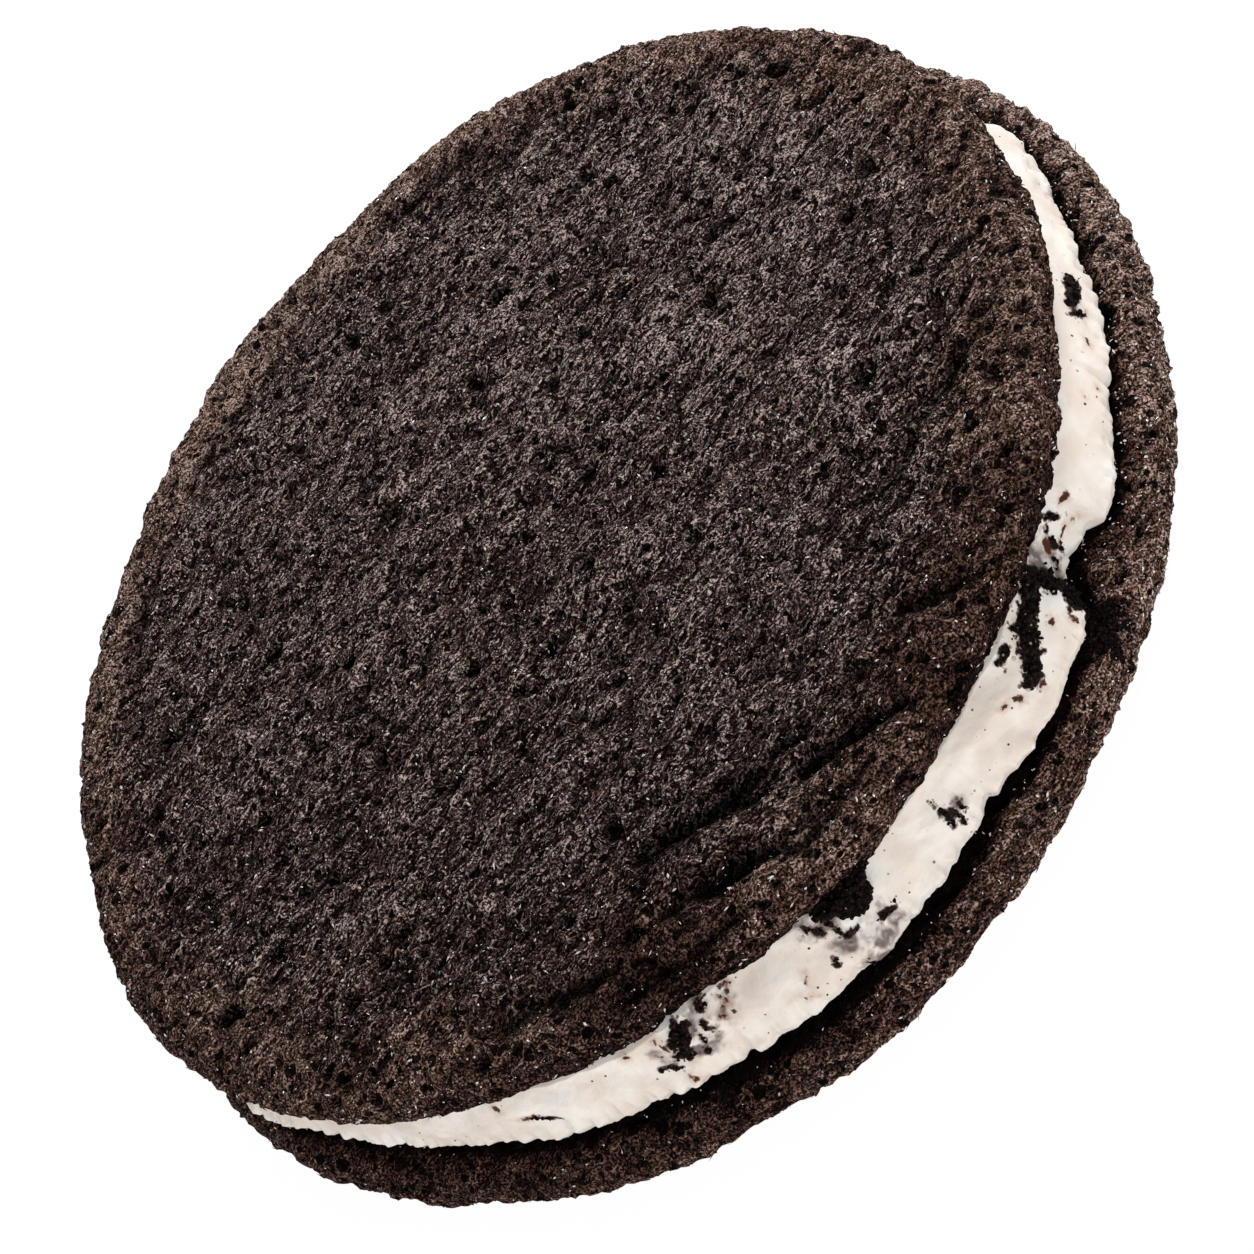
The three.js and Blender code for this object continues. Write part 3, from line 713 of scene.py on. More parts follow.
def curled_fibres(count, length, width, random):
    """Curled fibres of crumb, in millimetres: a three-sided section is carried along an arc of a few steps
    about the first axis, and tapers to both ends, which dip into the crumb."""
    step = random.uniform(0.5, 1.5, (count, 1)) * length / CURL_STEPS
    curl = random.normal(0, 2.2, (count, 1)) + random.normal(0, 0.25, (count, CURL_STEPS))
    heading = curl * (np.arange(CURL_STEPS) + 0.5 - CURL_STEPS / 2) / CURL_STEPS
    steps = np.stack([np.cos(heading), np.sin(heading)], -1) * step[..., None]
    line = np.concatenate([np.zeros((count, 1, 2)), np.cumsum(steps, axis=1)], axis=1)
    line -= line.mean(axis=1, keepdims=True)
    between = (heading[:, 1:] + heading[:, :-1]) / 2
    at_points = np.concatenate([heading[:, :1], between, heading[:, -1:]], axis=1)
    across = np.stack([-np.sin(at_points), np.cos(at_points)], -1)
    along = np.linspace(-1, 1, CURL_STEPS + 1)
    half = random.uniform(0.7, 1.3, (count, 1)) * width / 2 * np.sqrt(1.08 - along**2)
    dip = -0.6 * width * along**2 + np.zeros((count, 1))
    sections = [
        np.concatenate([line + side * half[..., None] * across, (dip + rise * half)[..., None]], -1)
        for side, rise in ((-1, -0.3), (1, -0.3), (0, 0.9))
    ]
    points = np.stack(sections, axis=2).reshape(count, -1, 3)
    quads = grid_faces(CURL_STEPS + 1, 3, closed=True)
    last = 3 * CURL_STEPS
    ends = [[0, 2, 1], [last, last + 1, last + 2]]
    return points, np.concatenate([quads[:, [0, 1, 2]], quads[:, [0, 2, 3]], ends])


def grain_attributes(kept, points_each, tone, rim):
    """The tone and the browning of the grains that were kept, for each of their points."""
    return {label: np.repeat(values[kept], points_each) for label, values in (("tone", tone), ("rim", rim))}


def fibre_piece(name, wafer, settings, fibres, count, width, material):
    """Fibres of crumb that lie on a wafer, mostly along the strand direction, in swirls. They are fewer in
    pores, by the rim and on the face that the lower wafer rests on."""
    random = np.random.default_rng(wafer.seed + count)
    shape = baked_shape(wafer, settings)
    marks = shape[3]
    weight = (1 - marks["hidden"]) * (1.05 - marks["hollow"]) * (1 - 0.6 * marks["rim"])
    if not wafer.upward:
        weight = weight * np.where(shape[0][:, 2] < WAFER_THICKNESS * 0.3, 0.45, 1)
    place, outward, near = random_spots(shape, weight, count, random)
    rim = marks["rim"][near]
    swirl = 1.6 * smooth_noise(place / 2.2, 31)
    heading = STRAND_DIRECTION + swirl + random.normal(0, 0.6, count)
    lying, shape_faces = fibres(count, settings.strand_length / MM, width, random)
    frames = lying_frames(outward, heading)
    points, faces, kept = set_down(lying, shape_faces, place, frames, np.ones((count, 3)))
    # The tone carries the wafer's painted light and shade.
    tone = random.uniform(0.2, 0.75, count) * marks["shade"][near] * (1 - 0.4 * rim)
    attributes = grain_attributes(kept, lying.shape[1], tone, rim)
    return new_piece(name, points, faces, material, attributes=attributes)


def sugar_glint_piece(name, wafer, settings, count):
    """Tiny sugar crystals that glint on a wafer with a real gloss, and whose pale colour also paints glints:
    blocky spindles turned any way. On the lower wafer they grow denser towards the side painted lighter,
    except low down."""
    random = np.random.default_rng(wafer.seed + 9)
    shape = baked_shape(wafer, settings)
    weight = (1 - shape[3]["hidden"]) * (1 - 0.7 * shape[3]["hollow"])
    if not wafer.upward:
        x, y, height = shape[0].T
        above = 0.15 + smoothstep(-0.6, 0.9, to_lit_side(wafer, x, y))
        weight = weight * np.where(height < WAFER_THICKNESS * 0.2, 0.35, above)
    place, outward, _ = random_spots(shape, weight, count, random)
    size = (0.03 + 0.05 * random.random((count, 1)) ** 2) * random.uniform(0.6, 1.3, (count, 3))
    size[:, 0] *= random.uniform(1, 3, count)
    frames = lying_frames(unit(outward + random.normal(0, 0.5, outward.shape)), random.uniform(0, 6.3, count))
    points, faces, _ = set_down(SPINDLE_POINTS, SPINDLE_FACES, place + 0.05 * outward, frames, size)
    return new_piece(name, points, faces, glint_material(settings), smooth=False)


def rim_crumb_piece(name, wafer, settings, count, material):
    """Coarse crumbs along a wafer's rim, which make its outline ragged: rough balls sunk half way in."""
    random = np.random.default_rng(wafer.seed + 7)
    shape = baked_shape(wafer, settings)
    marks = shape[3]
    weight = (1 - marks["hidden"]) * marks["rim"] ** 4 + 0.02 * (1 - marks["hidden"])
    place, outward, near = random_spots(shape, weight, count, random)
    points, faces = ball(5, 2)
    rough = points * random.uniform(0.65, 1.3, (count, len(points), 1))
    width = 0.14 + 0.24 * random.random(count) ** 2
    size = width[:, None] * random.uniform(0.7, 1.35, (count, 3)) / 2
    place = place + outward * (random.uniform(-0.5, -0.1, count) * width)[:, None]
    frames = lying_frames(outward, random.uniform(0, 2 * math.pi, count))
    points, faces, kept = set_down(rough, faces, place, frames, size)
    # The tone carries the wafer's painted light and shade.
    tone = random.uniform(0.05, 0.5, count) * marks["shade"][near]
    attributes = grain_attributes(kept, rough.shape[1], tone, marks["rim"][near])
    return new_piece(name, points, faces, material, smooth=False, attributes=attributes)


# ---- Cream ----

# How far noise shifts the edges of the streaks, as a share of their half widths.
CRUMB_TORN = 0.6
GREY_TORN = 0.9
BROWN_TORN = 0.6
# What a streak field holds where no streak is near.
FAR_OUTSIDE = -9.0


def cream_draw(height):
    """How far the cream's side draws in from its lip at a height: an undercut foot, the lip, and above it a
    slow lean in."""
    heights = [0, LIP_HEIGHT * 0.12, LIP_HEIGHT * 0.4, LIP_HEIGHT, 2, 3, 4, 4.7, FILLING_HEIGHT]
    foot = [CREAM_FOOT_DRAW * s for s in (1, 0.5, 0.16, 0)]
    side = [CREAM_TOP_DRAW * s for s in (0.12, 0.35, 0.6, 0.85, 1)]
    return np.interp(height, heights, foot + side)


def cream_unevenness(angle, height):
    """Lobes, scallops and tears that fade upwards, slanting folds, and hollows under the upper wafer."""
    up = height / FILLING_HEIGHT
    scallops = 0.05 * np.sin(29 * angle + 1.3) + 0.04 * np.sin(43 * angle + 0.4)
    folds = 0.07 * np.sin(19 * angle + 2.2 * height)
    lip = (1 - 0.75 * up) * (lobed(angle, CREAM_LOBES) + scallops - torn_back(angle))
    return lip + folds - up**2 * lobed(angle, CREAM_HOLLOWS)


def torn_back(angle):
    """How far the lip's tears draw it in: each starts with a steep step and comes out again over its turn."""
    total = np.zeros_like(angle)
    for start, depth, span in LIP_TEARS:
        share = turn_between(angle, start) / math.radians(span)
        total += depth * smoothstep(0, 0.1, share) * (1 - smoothstep(0.3, 1, share))
    return total


def on_side(around, height):
    """Places on the unrolled side of the cream, for the random fields."""
    return np.stack([around, height, np.zeros_like(height)], -1)


def cream_radius(angle, height):
    """The cream's reach from its middle, with broad dents, slanting ridges, torn edges along the lip, the
    crumbs that stand out of it and its small pits."""
    around = angle * LIP_RADIUS
    plain = LIP_RADIUS - cream_draw(height) + cream_unevenness(angle, height)
    dents = 0.2 * layered_noise(on_side(around * 0.7, height * 0.9), 2.2, 4, 700, fade=0.45)
    slanted = on_side((around + 1.6 * height) * 0.5, (height - 0.4 * around) * 0.16)
    ridges = 0.14 * (0.35 - np.abs(smooth_noise(slanted, 740)))
    lip_line = np.exp(-(((height - LIP_HEIGHT) / 0.9) ** 2))
    tears = 0.32 * lip_line * layered_noise(on_side(around, height * 0.25), 1.1, 3, 760, fade=0.6)
    crumb = smoothstep(-0.1, 0.25, streak_field(angle, height, CRUMB_STREAKS, CRUMB_TORN))
    knobs = crumb * (0.12 + 0.3 * plates(on_side(around, height), 0.55, 2, 780))
    for pit_angle, pit_height in CREAM_PITS:
        away = np.hypot(turn_between(angle, pit_angle) * LIP_RADIUS, height - pit_height)
        knobs -= 0.3 * (1 - smoothstep(0.04, 0.14, away))
    return plain + dents + ridges + tears + knobs


def streak_field(angle, height, streaks, torn):
    """Millimetres inside the nearest streak, negative outside: half its width less the distance to its middle
    line on the unrolled side, torn by noise, more so for a wide streak."""
    inside = np.full_like(angle, FAR_OUTSIDE)
    tears = np.zeros_like(angle)
    for from_angle, from_height, to_angle, to_height, half_width in streaks:
        x = turn_between(angle, from_angle) * LIP_RADIUS
        y = height - from_height
        end_x = math.radians(to_angle - from_angle) * LIP_RADIUS
        end_y = to_height - from_height
        along = np.clip((x * end_x + y * end_y) / (end_x**2 + end_y**2 + 1e-9), 0, 1)
        here = half_width - np.hypot(x - along * end_x, y - along * end_y)
        tears = np.where(here > inside, 0.05 + torn * half_width, tears)
        inside = np.maximum(inside, here)
    close = inside > -3
    place = on_side(angle[close] * LIP_RADIUS, height[close])
    inside[close] += tears[close] * layered_noise(place, 0.8, 3, 810, fade=0.7)
    return inside


# ---- Materials ----


class Recipe:
    """A material's node tree, with short calls to add and join its nodes."""

    def __init__(self, name):
        self.material = bpy.data.materials.new(name)
        self.material.use_nodes = True
        self.tree = self.material.node_tree
        self.shader = self.tree.nodes["Principled BSDF"]
        self.place = self.node("ShaderNodeTexCoord").outputs["Object"]

    def node(self, kind, **settings):
        made = self.tree.nodes.new(kind)
        for label, value in settings.items():
            setattr(made, label, value)
        return made

    def join(self, source, target):
        self.tree.links.new(source, target)

    def put(self, value, target):
        """A link if the value is a socket, and otherwise the socket's own value."""
        if isinstance(value, bpy.types.NodeSocket):
            self.join(value, target)
        else:
            target.default_value = value

    def put_colour(self, value, target):
        """The same for a colour, from a socket or from red, green and blue."""
        self.put(value if isinstance(value, bpy.types.NodeSocket) else (*value, 1), target)

    def surface(self, colour, roughness, specular):
        """Sets the shader's colour, roughness and specular level."""
        self.put_colour(colour, self.shader.inputs["Base Color"])
        self.shader.inputs["Roughness"].default_value = roughness
        self.shader.inputs["Specular IOR Level"].default_value = specular

    def scaled(self, wavelength, stretch=(1, 1, 1), turn=(0, 0, 0)):
        """Object coordinates in which one unit is the given wavelength in metres."""
        mapping = self.node("ShaderNodeMapping")
        self.join(self.place, mapping.inputs["Vector"])
        mapping.inputs["Scale"].default_value = [s / wavelength for s in stretch]
        mapping.inputs["Rotation"].default_value = turn
        return mapping.outputs["Vector"]

    def warped(self, vector, wavelength, amount):
        """A place shifted by up to the amount, in the vector's own units, by noise of that wavelength."""
        noise = self.node("ShaderNodeTexNoise")
        self.join(vector, noise.inputs["Vector"])
        noise.inputs["Scale"].default_value = 1.0 / wavelength
        noise.inputs["Detail"].default_value = 1.0
        shift = self.node("ShaderNodeVectorMath", operation="MULTIPLY_ADD")
        self.join(noise.outputs["Color"], shift.inputs[0])
        shift.inputs[1].default_value = (2 * amount,) * 3
        self.join(vector, shift.inputs[2])
        return shift.outputs[0]

    def lines(self, wavelength, thickness, stretch, turn):
        """1 on thin curly lines, the places where a swirled noise is close to its middle value, and 1 in the
        crease that follows each line on one side."""
        made = self.node("ShaderNodeTexNoise")
        vector = self.warped(self.scaled(wavelength, stretch, turn), 1.9, 0.35)
        self.join(vector, made.inputs["Vector"])
        made.inputs["Scale"].default_value = 1.0
        made.inputs["Detail"].default_value = 0.0
        signed = self.less(made.outputs["Fac"], 0.5)
        line = self.ramp(self.math("ABSOLUTE", signed), thickness * 0.3, thickness, 1.0, 0.0)
        crease = self.math("ABSOLUTE", self.less(signed, 2.0 * thickness))
        return line, self.ramp(crease, thickness * 0.4, thickness * 1.2, 1.0, 0.0)

    def holes(self, spacing, largest, edge, stretch, turn):
        """1 inside round holes with random sizes, and 1 on the ring just outside them."""
        distance, colour = self.cells(spacing, stretch, turn)
        size = self.ramp(colour, 0.25, 0.9, -3 * edge, largest, smooth=False)
        outside = self.less(distance, size)
        beyond = self.ramp(outside, 0.0, edge * 1.5)
        ring = self.times(beyond, self.ramp(outside, edge * 2, edge * 4, 1.0, 0.0))
        return self.ramp(outside, -edge, edge, 1.0, 0.0), ring

    def noise(self, wavelength, detail=2.0, roughness=0.5, stretch=(1, 1, 1), turn=(0, 0, 0)):
        """Layered noise from 0 to 1."""
        made = self.node("ShaderNodeTexNoise")
        self.join(self.scaled(wavelength, stretch, turn), made.inputs["Vector"])
        made.inputs["Scale"].default_value = 1.0
        made.inputs["Detail"].default_value = detail
        made.inputs["Roughness"].default_value = roughness
        return made.outputs["Fac"]

    def cells(self, spacing, stretch=(1, 1, 1), turn=(0, 0, 0)):
        """The distance to the nearest of random points, one for each cell, and a random colour for each."""
        made = self.node("ShaderNodeTexVoronoi", feature="F1")
        self.join(self.scaled(spacing, stretch, turn), made.inputs["Vector"])
        made.inputs["Scale"].default_value = 1.0
        made.inputs["Randomness"].default_value = 1.0
        return made.outputs["Distance"], made.outputs["Color"]

    def spots(self, spacing, largest, edge):
        """1 inside round spots, at most one for each cell, with random sizes up to the largest share of the
        spacing."""
        distance, colour = self.cells(spacing)
        size = self.ramp(colour, 0.25, 0.85, -edge, largest, smooth=False)
        return self.ramp(self.less(distance, size), -edge, edge, 1.0, 0.0)

    def attribute(self, name):
        return self.node("ShaderNodeAttribute", attribute_name=name).outputs["Fac"]

    def math(self, operation, first, second=0.0, clamp=False):
        made = self.node("ShaderNodeMath", operation=operation, use_clamp=clamp)
        self.put(first, made.inputs[0])
        self.put(second, made.inputs[1])
        return made.outputs[0]

    def times(self, first, second, clamp=False):
        return self.math("MULTIPLY", first, second, clamp)

    def plus(self, first, second, clamp=False):
        return self.math("ADD", first, second, clamp)

    def less(self, first, second):
        return self.math("SUBTRACT", first, second)

    def larger(self, first, second):
        return self.math("MAXIMUM", first, second)

    def ramp(self, value, low, high, start=0.0, end=1.0, smooth=True):
        """The value from low to high, carried to start to end and held outside."""
        made = self.node("ShaderNodeMapRange", interpolation_type="SMOOTHSTEP" if smooth else "LINEAR")
        self.put(value, made.inputs["Value"])
        made.inputs["From Min"].default_value = low
        made.inputs["From Max"].default_value = high
        made.inputs["To Min"].default_value = start
        made.inputs["To Max"].default_value = end
        return made.outputs["Result"]

    def mix(self, share, first, second):
        """Blends two colours."""
        made = self.node("ShaderNodeMix", data_type="RGBA")
        self.put(share, made.inputs["Factor"])
        for value, label in ((first, "A_Color"), (second, "B_Color")):
            self.put_colour(value, next(s for s in made.inputs if s.identifier == label))
        return next(s for s in made.outputs if s.identifier == "Result_Color")

    def bump(self, height, distance):
        """Fine relief: a height of 1 stands out by the distance in metres."""
        made = self.node("ShaderNodeBump")
        made.inputs["Strength"].default_value = 1.0
        made.inputs["Distance"].default_value = distance
        self.join(height, made.inputs["Height"])
        self.join(made.outputs["Normal"], self.shader.inputs["Normal"])


# How light the crumb is between its fibres and creases.
BASE_TONE = 0.36


def wafer_material(name, settings, tilt):
    """Dark baked crumb: thin curls and straight hairs of fibre over a fine grain, brown patches and a warmer
    rim,
    with painted light and shade: fibres partly lit as painted highlights, painted shade in the creases beside
    them and in round pores, painted highlights on the pores' paler edges, and the wafer's shade attribute.
    The tilt turns the patterns out of the level of the faces."""
    recipe = Recipe(name)
    turn = (tilt, -tilt, -STRAND_DIRECTION)
    grain = recipe.ramp(recipe.noise(0.15 * MM, detail=1), 0.36, 0.64)
    curls, curl_creases = recipe.lines(0.5 * MM, 0.07, (0.7, 1, 1), turn)
    hairs, hair_creases = recipe.lines(0.42 * MM, 0.08, (0.2, 1, 1), turn)
    breaks = recipe.noise(0.7 * MM, detail=2, roughness=0.7, turn=turn)
    patches = recipe.noise(3.5 * MM, detail=2, roughness=0.6, stretch=(0.5, 1, 1), turn=turn)
    pores, pore_highlights = crumb_pores(recipe)
    rim = recipe.attribute("rim")

    # The fibres are lighter crumb, and partly painted highlight on their ridges.
    fibres = recipe.larger(curls, recipe.times(hairs, recipe.ramp(breaks, 0.6, 0.4, 0.3, 1.0)))
    # Painted highlights on the pores' edges.
    fibres = recipe.larger(fibres, recipe.times(pore_highlights, 0.5))
    fibres = recipe.times(fibres, recipe.ramp(breaks, 0.3, 0.65, 0.25, 0.55))
    fibres = recipe.times(fibres, recipe.ramp(rim, 0.0, 1.0, 1.0, 0.55, smooth=False))
    creases = recipe.larger(curl_creases, recipe.times(hair_creases, 0.7))
    creases = recipe.times(creases, recipe.ramp(rim, 0.2, 1.0, 1.0, 0.65))
    lit = recipe.plus(fibres, BASE_TONE)
    # Painted shade in the creases beside the fibres.
    lit = recipe.times(lit, recipe.ramp(creases, 0.0, 1.0, 1.0, 0.25))
    lit = recipe.times(lit, recipe.ramp(grain, 0.0, 1.0, 0.3, 1.26))
    # The wafer's painted light and shade.
    lit = recipe.times(lit, recipe.attribute("shade"), clamp=True)
    warm = recipe.ramp(patches, 0.5, 0.75, 0.0, 0.45)
    # Painted shade in pores, furrows and pits.
    dark = recipe.larger(recipe.times(recipe.attribute("hollow"), 0.9), recipe.times(pores, 0.95))
    colour = recipe.mix(dark, crumb_colour(recipe, settings, lit, warm), settings.pore_shade_colour)
    recipe.surface(colour, roughness=0.8, specular=0.02)

    height = recipe.plus(recipe.times(fibres, 0.6), breaks)
    height = recipe.less(height, recipe.times(creases, 0.3))
    height = recipe.plus(height, recipe.times(grain, 0.25))
    height = recipe.less(height, recipe.times(pores, 0.9))
    recipe.bump(height, 0.22 * MM)
    return recipe.material


def crumb_pores(recipe):
    """The round pores that go through crumb and fibres alike, painted dark as painted shade, and their edges,
    painted lighter as painted highlights. The larger ones are mostly by the rim."""
    turn = (0.25, -0.25, -STRAND_DIRECTION)
    small, small_edges = recipe.holes(0.68 * MM, 0.4, 0.04, (0.85, 1, 1), turn)
    large, large_edges = recipe.holes(1.0 * MM, 0.41, 0.03, (0.8, 1, 1), turn)
    share = recipe.ramp(recipe.attribute("rim"), 0.1, 0.7, 0.4, 1.0)
    edges = recipe.larger(small_edges, recipe.times(large_edges, share))
    return recipe.larger(small, recipe.times(large, share)), edges


def crumb_colour(recipe, settings, lit, warm):
    """The crumb's colour for how much it is lit: from nearly black over warm brown to a greyish light, and
    browner by the rim and in warm patches."""
    middle = recipe.ramp(lit, 0.05, 0.42)
    light = recipe.ramp(lit, 0.3, 1.0)
    crumb = recipe.mix(middle, settings.dark_colour, settings.middle_colour)
    crumb = recipe.mix(light, crumb, settings.crumb_colour)
    brown = recipe.mix(middle, settings.dark_colour, settings.rim_middle)
    brown = recipe.mix(light, brown, settings.rim_colour)
    rim = recipe.times(recipe.attribute("rim"), 0.9)
    return recipe.mix(recipe.plus(rim, warm, clamp=True), crumb, brown)


def grain_material(name, settings):
    """Loose crumb: each grain has its own tone, which carries the wafer's painted light and shade, broken by
    a finer grain and by pores painted dark as painted shade, browner by the rim.
    """
    recipe = Recipe(name)
    grain = recipe.ramp(recipe.noise(0.15 * MM, detail=1), 0.36, 0.64, 0.3, 1.1)
    pores, _ = crumb_pores(recipe)
    lit = recipe.times(recipe.attribute("tone"), grain)
    # Painted shade in the pores.
    colour = recipe.mix(pores, crumb_colour(recipe, settings, lit, 0.0), settings.pore_shade_colour)
    recipe.surface(colour, roughness=0.55, specular=0.08)
    return recipe.material


def glint_material(settings):
    """Fine sugar left on the crumb: pale, with a hard gloss; the pale colour also paints glints."""
    recipe = Recipe("sugar")
    recipe.surface(settings.glint_colour, roughness=0.15, specular=0.6)
    return recipe.material


def cream_material(settings):
    """Spread cream: warm white with light under its surface, thin grey places that let the crumb show
    through, crumbs with torn edges, and fine brown specks."""
    recipe = Recipe("cream")
    fine = recipe.noise(0.28 * MM, detail=2, roughness=0.6)
    cloud = recipe.noise(0.9 * MM, detail=3, roughness=0.6)
    tone = recipe.noise(3 * MM, detail=2)
    colour = recipe.mix(recipe.ramp(tone, 0.35, 0.65), settings.cream_colour, settings.cream_shade)
    torn = recipe.times(recipe.less(fine, 0.5), 0.5)

    haze = recipe.noise(1.3 * MM, detail=3, roughness=0.55)
    grey = recipe.ramp(recipe.attribute("grey"), -0.45, 0.25)
    grey = recipe.times(grey, recipe.ramp(haze, 0.36, 0.58, 0.2, 1.0), clamp=True)
    colour = recipe.mix(grey, colour, settings.smear_colour)

    brown = recipe.plus(recipe.attribute("brown"), torn)
    stain = recipe.times(recipe.ramp(brown, -0.55, 0.1, 0.0, 0.5), recipe.ramp(cloud, 0.35, 0.6))
    colour = recipe.mix(stain, colour, settings.stain_colour)
    specks = recipe.times(recipe.spots(0.6 * MM, 0.17, 0.03), recipe.ramp(tone, 0.36, 0.52))
    core = recipe.larger(recipe.ramp(brown, -0.07, 0.06), specks)
    colour = recipe.mix(core, colour, settings.speck_colour)

    crumb_edge = recipe.plus(recipe.attribute("crumb"), torn)
    near_crumb = recipe.ramp(crumb_edge, -0.85, 0.0)
    dust = recipe.times(recipe.spots(0.42 * MM, 0.36, 0.05), recipe.ramp(near_crumb, 0.3, 1.0))
    colour = recipe.mix(recipe.times(dust, 0.9), colour, settings.speck_colour)
    colour = recipe.mix(recipe.ramp(crumb_edge, -0.14, 0.0, 0.0, 0.8), colour, settings.speck_colour)
    crumb = recipe.ramp(crumb_edge, -0.02, 0.06)
    black = recipe.mix(recipe.ramp(fine, 0.45, 0.75), settings.moist_colour, settings.moist_light)
    recipe.surface(recipe.mix(crumb, colour, black), roughness=0.4, specular=0.08)
    solid = recipe.larger(recipe.ramp(crumb_edge, -0.3, 0.0), core)
    recipe.join(recipe.ramp(solid, 0.0, 1.0, 0.35, 0.0), recipe.shader.inputs["Subsurface Weight"])
    recipe.shader.inputs["Subsurface Radius"].default_value = (1.0, 0.75, 0.55)
    recipe.shader.inputs["Subsurface Scale"].default_value = 0.8 * MM
    grain = recipe.times(fine, recipe.ramp(crumb, 0.0, 1.0, 0.2, 1.6))
    recipe.bump(recipe.plus(grain, cloud), 0.12 * MM)
    return recipe.material


def moist_material(settings):
    """Moist dark crumbs caught in the cream: nearly black, with brown grains and a few bright points of
    painted glint.
    """
    recipe = Recipe("caught_crumbs")
    grain = recipe.noise(0.2 * MM, detail=3, roughness=0.65)
    colour = recipe.mix(recipe.ramp(grain, 0.52, 0.7), settings.moist_colour, settings.moist_light)
    # Painted glints: a few bright points on the dark crumb.
    points = recipe.spots(0.5 * MM, 0.17, 0.05)
    recipe.surface(recipe.mix(points, colour, settings.moist_glint), roughness=0.5, specular=0.05)
    recipe.bump(grain, 0.12 * MM)
    return recipe.material


# ---- Settings ----


def colour_setting(name, description, value):
    return FloatVectorProperty(
        name=name, description=description, subtype="COLOR", size=3, min=0, max=1, default=value
    )


def length_setting(name, description, millimetres):
    return FloatProperty(name=name, description=description, default=millimetres * MM, min=0, unit="LENGTH")


def count_setting(name, description, count, least):
    return IntProperty(name=name, description=description, default=count, min=least)


def strength_setting(name, description, strength):
    return FloatProperty(name=name, description=description, default=strength, min=0)


class WaferSettings(bpy.types.PropertyGroup):
    """How the wafers are baked."""

    pore_spacing: length_setting("Pore spacing", "Mean distance between the larger pores", 1.4)
    pore_depth: length_setting("Pore depth", "How deep the larger pores go", 0.5)
    strand_length: length_setting("Strand length", "Mean length of the fibres that lie on the crumb", 0.9)
    strand_width: length_setting("Strand width", "Mean width of the fibres that lie on the crumb", 0.095)
    crumb_colour: colour_setting("Crumb", "The crumb's lightest fibres", (0.58, 0.46, 0.42))
    middle_colour: colour_setting("Brown crumb", "The crumb between dark and light", (0.082, 0.053, 0.046))
    dark_colour: colour_setting("Dark crumb", "The crumb between the fibres", (0.0036, 0.0014, 0.0009))
    rim_colour: colour_setting("Rim", "The browner light fibres of the rim", (0.53, 0.38, 0.32))
    rim_middle: colour_setting("Rim, brown", "The rim's crumb between dark and light", (0.122, 0.063, 0.047))
    # Painted shade: the colour inside pores, furrows and pits.
    pore_shade_colour: colour_setting("Pore", "Inside pores and furrows", (0.0012, 0.0005, 0.0003))
    # Pale sugar, whose colour also paints glints on the crumb.
    glint_colour: colour_setting("Sugar", "Fine sugar crystals on the crumb", (0.78, 0.73, 0.69))


class CreamSettings(bpy.types.PropertyGroup):
    """How the cream is spread."""

    steps_round: count_setting("Steps round", "Grid steps round the cream, an even number", 1560, 60)
    steps_up: count_setting("Steps up", "Grid points up the cream's side", 62, 8)
    cream_colour: colour_setting("Cream", "The cream itself", (0.875, 0.82, 0.76))
    cream_shade: colour_setting("Cream shade", "Slightly warmer patches of the cream", (0.80, 0.705, 0.63))
    smear_colour: colour_setting("Thin cream", "Where the cream is thin over dark crumb", (0.19, 0.155, 0.14))
    speck_colour: colour_setting("Speck", "Fine brown specks", (0.07, 0.021, 0.011))
    stain_colour: colour_setting("Stain", "Pale brown cream round the specks", (0.50, 0.29, 0.17))
    moist_colour: colour_setting("Moist crumb", "Dark crumb soaked by the cream", (0.0028, 0.0012, 0.0008))
    moist_light: colour_setting("Moist crumb, light", "Its lighter grains", (0.042, 0.019, 0.013))
    # Painted glints on the dark crumbs.
    moist_glint: colour_setting("Moist crumb, points", "Its few bright points", (0.42, 0.33, 0.30))


class StudioSettings(bpy.types.PropertyGroup):
    """The light and the floor."""

    key_power: strength_setting("Key light", "Power of the soft key light", 5.3)
    fill_power: strength_setting("Fill light", "Power of the larger, low fill light", 3.6)
    room_light: strength_setting("Room light", "Strength of the even room light", 0.28)
    floor_colour: colour_setting("Floor", "The floor's own colour, under its glow", (0.1, 0.1, 0.1))
    floor_glow: strength_setting("Floor glow", "How much the floor is lit from below", 0.96)


# ---- Operators for the pieces ----


def towards(angle):
    """Unit directions in the level plane at angles in radians, with a height of 0."""
    return np.stack([np.cos(angle), np.sin(angle), np.zeros_like(angle)], -1)


def on_cream(angle, height, reach):
    """Places at a reach from the cream's middle, and at a height over its foot."""
    place = towards(angle) * reach[:, None]
    place[:, 2] = LOWER_FACE + height
    return place + np.array([*UPPER_MIDDLE, 0])


class COOKIE_OT_lower_wafer(bpy.types.Operator):
    """Bakes the lower wafer, which rests on its outer face"""

    bl_idname = "cookie.lower_wafer"
    bl_label = "Lower Wafer"

    def execute(self, context):
        settings = context.scene.cookie_wafers
        points, quads, _, marks = baked_shape(LOWER, settings)
        material = wafer_material("lower_crumb", settings, 0.3)
        piece = new_piece("lower_wafer_baked", points, quads, material, attributes=marks)
        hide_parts("lower_wafer")
        return {"FINISHED"}


class COOKIE_OT_upper_wafer(bpy.types.Operator):
    """Bakes the upper wafer, with its furrows and pits"""

    bl_idname = "cookie.upper_wafer"
    bl_label = "Upper Wafer"

    def execute(self, context):
        settings = context.scene.cookie_wafers
        points, quads, _, marks = baked_shape(UPPER, settings)
        material = wafer_material("upper_crumb", settings, 0.2)
        piece = new_piece("upper_wafer_baked", points, quads, material, attributes=marks)
        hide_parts("upper_wafer")
        return {"FINISHED"}


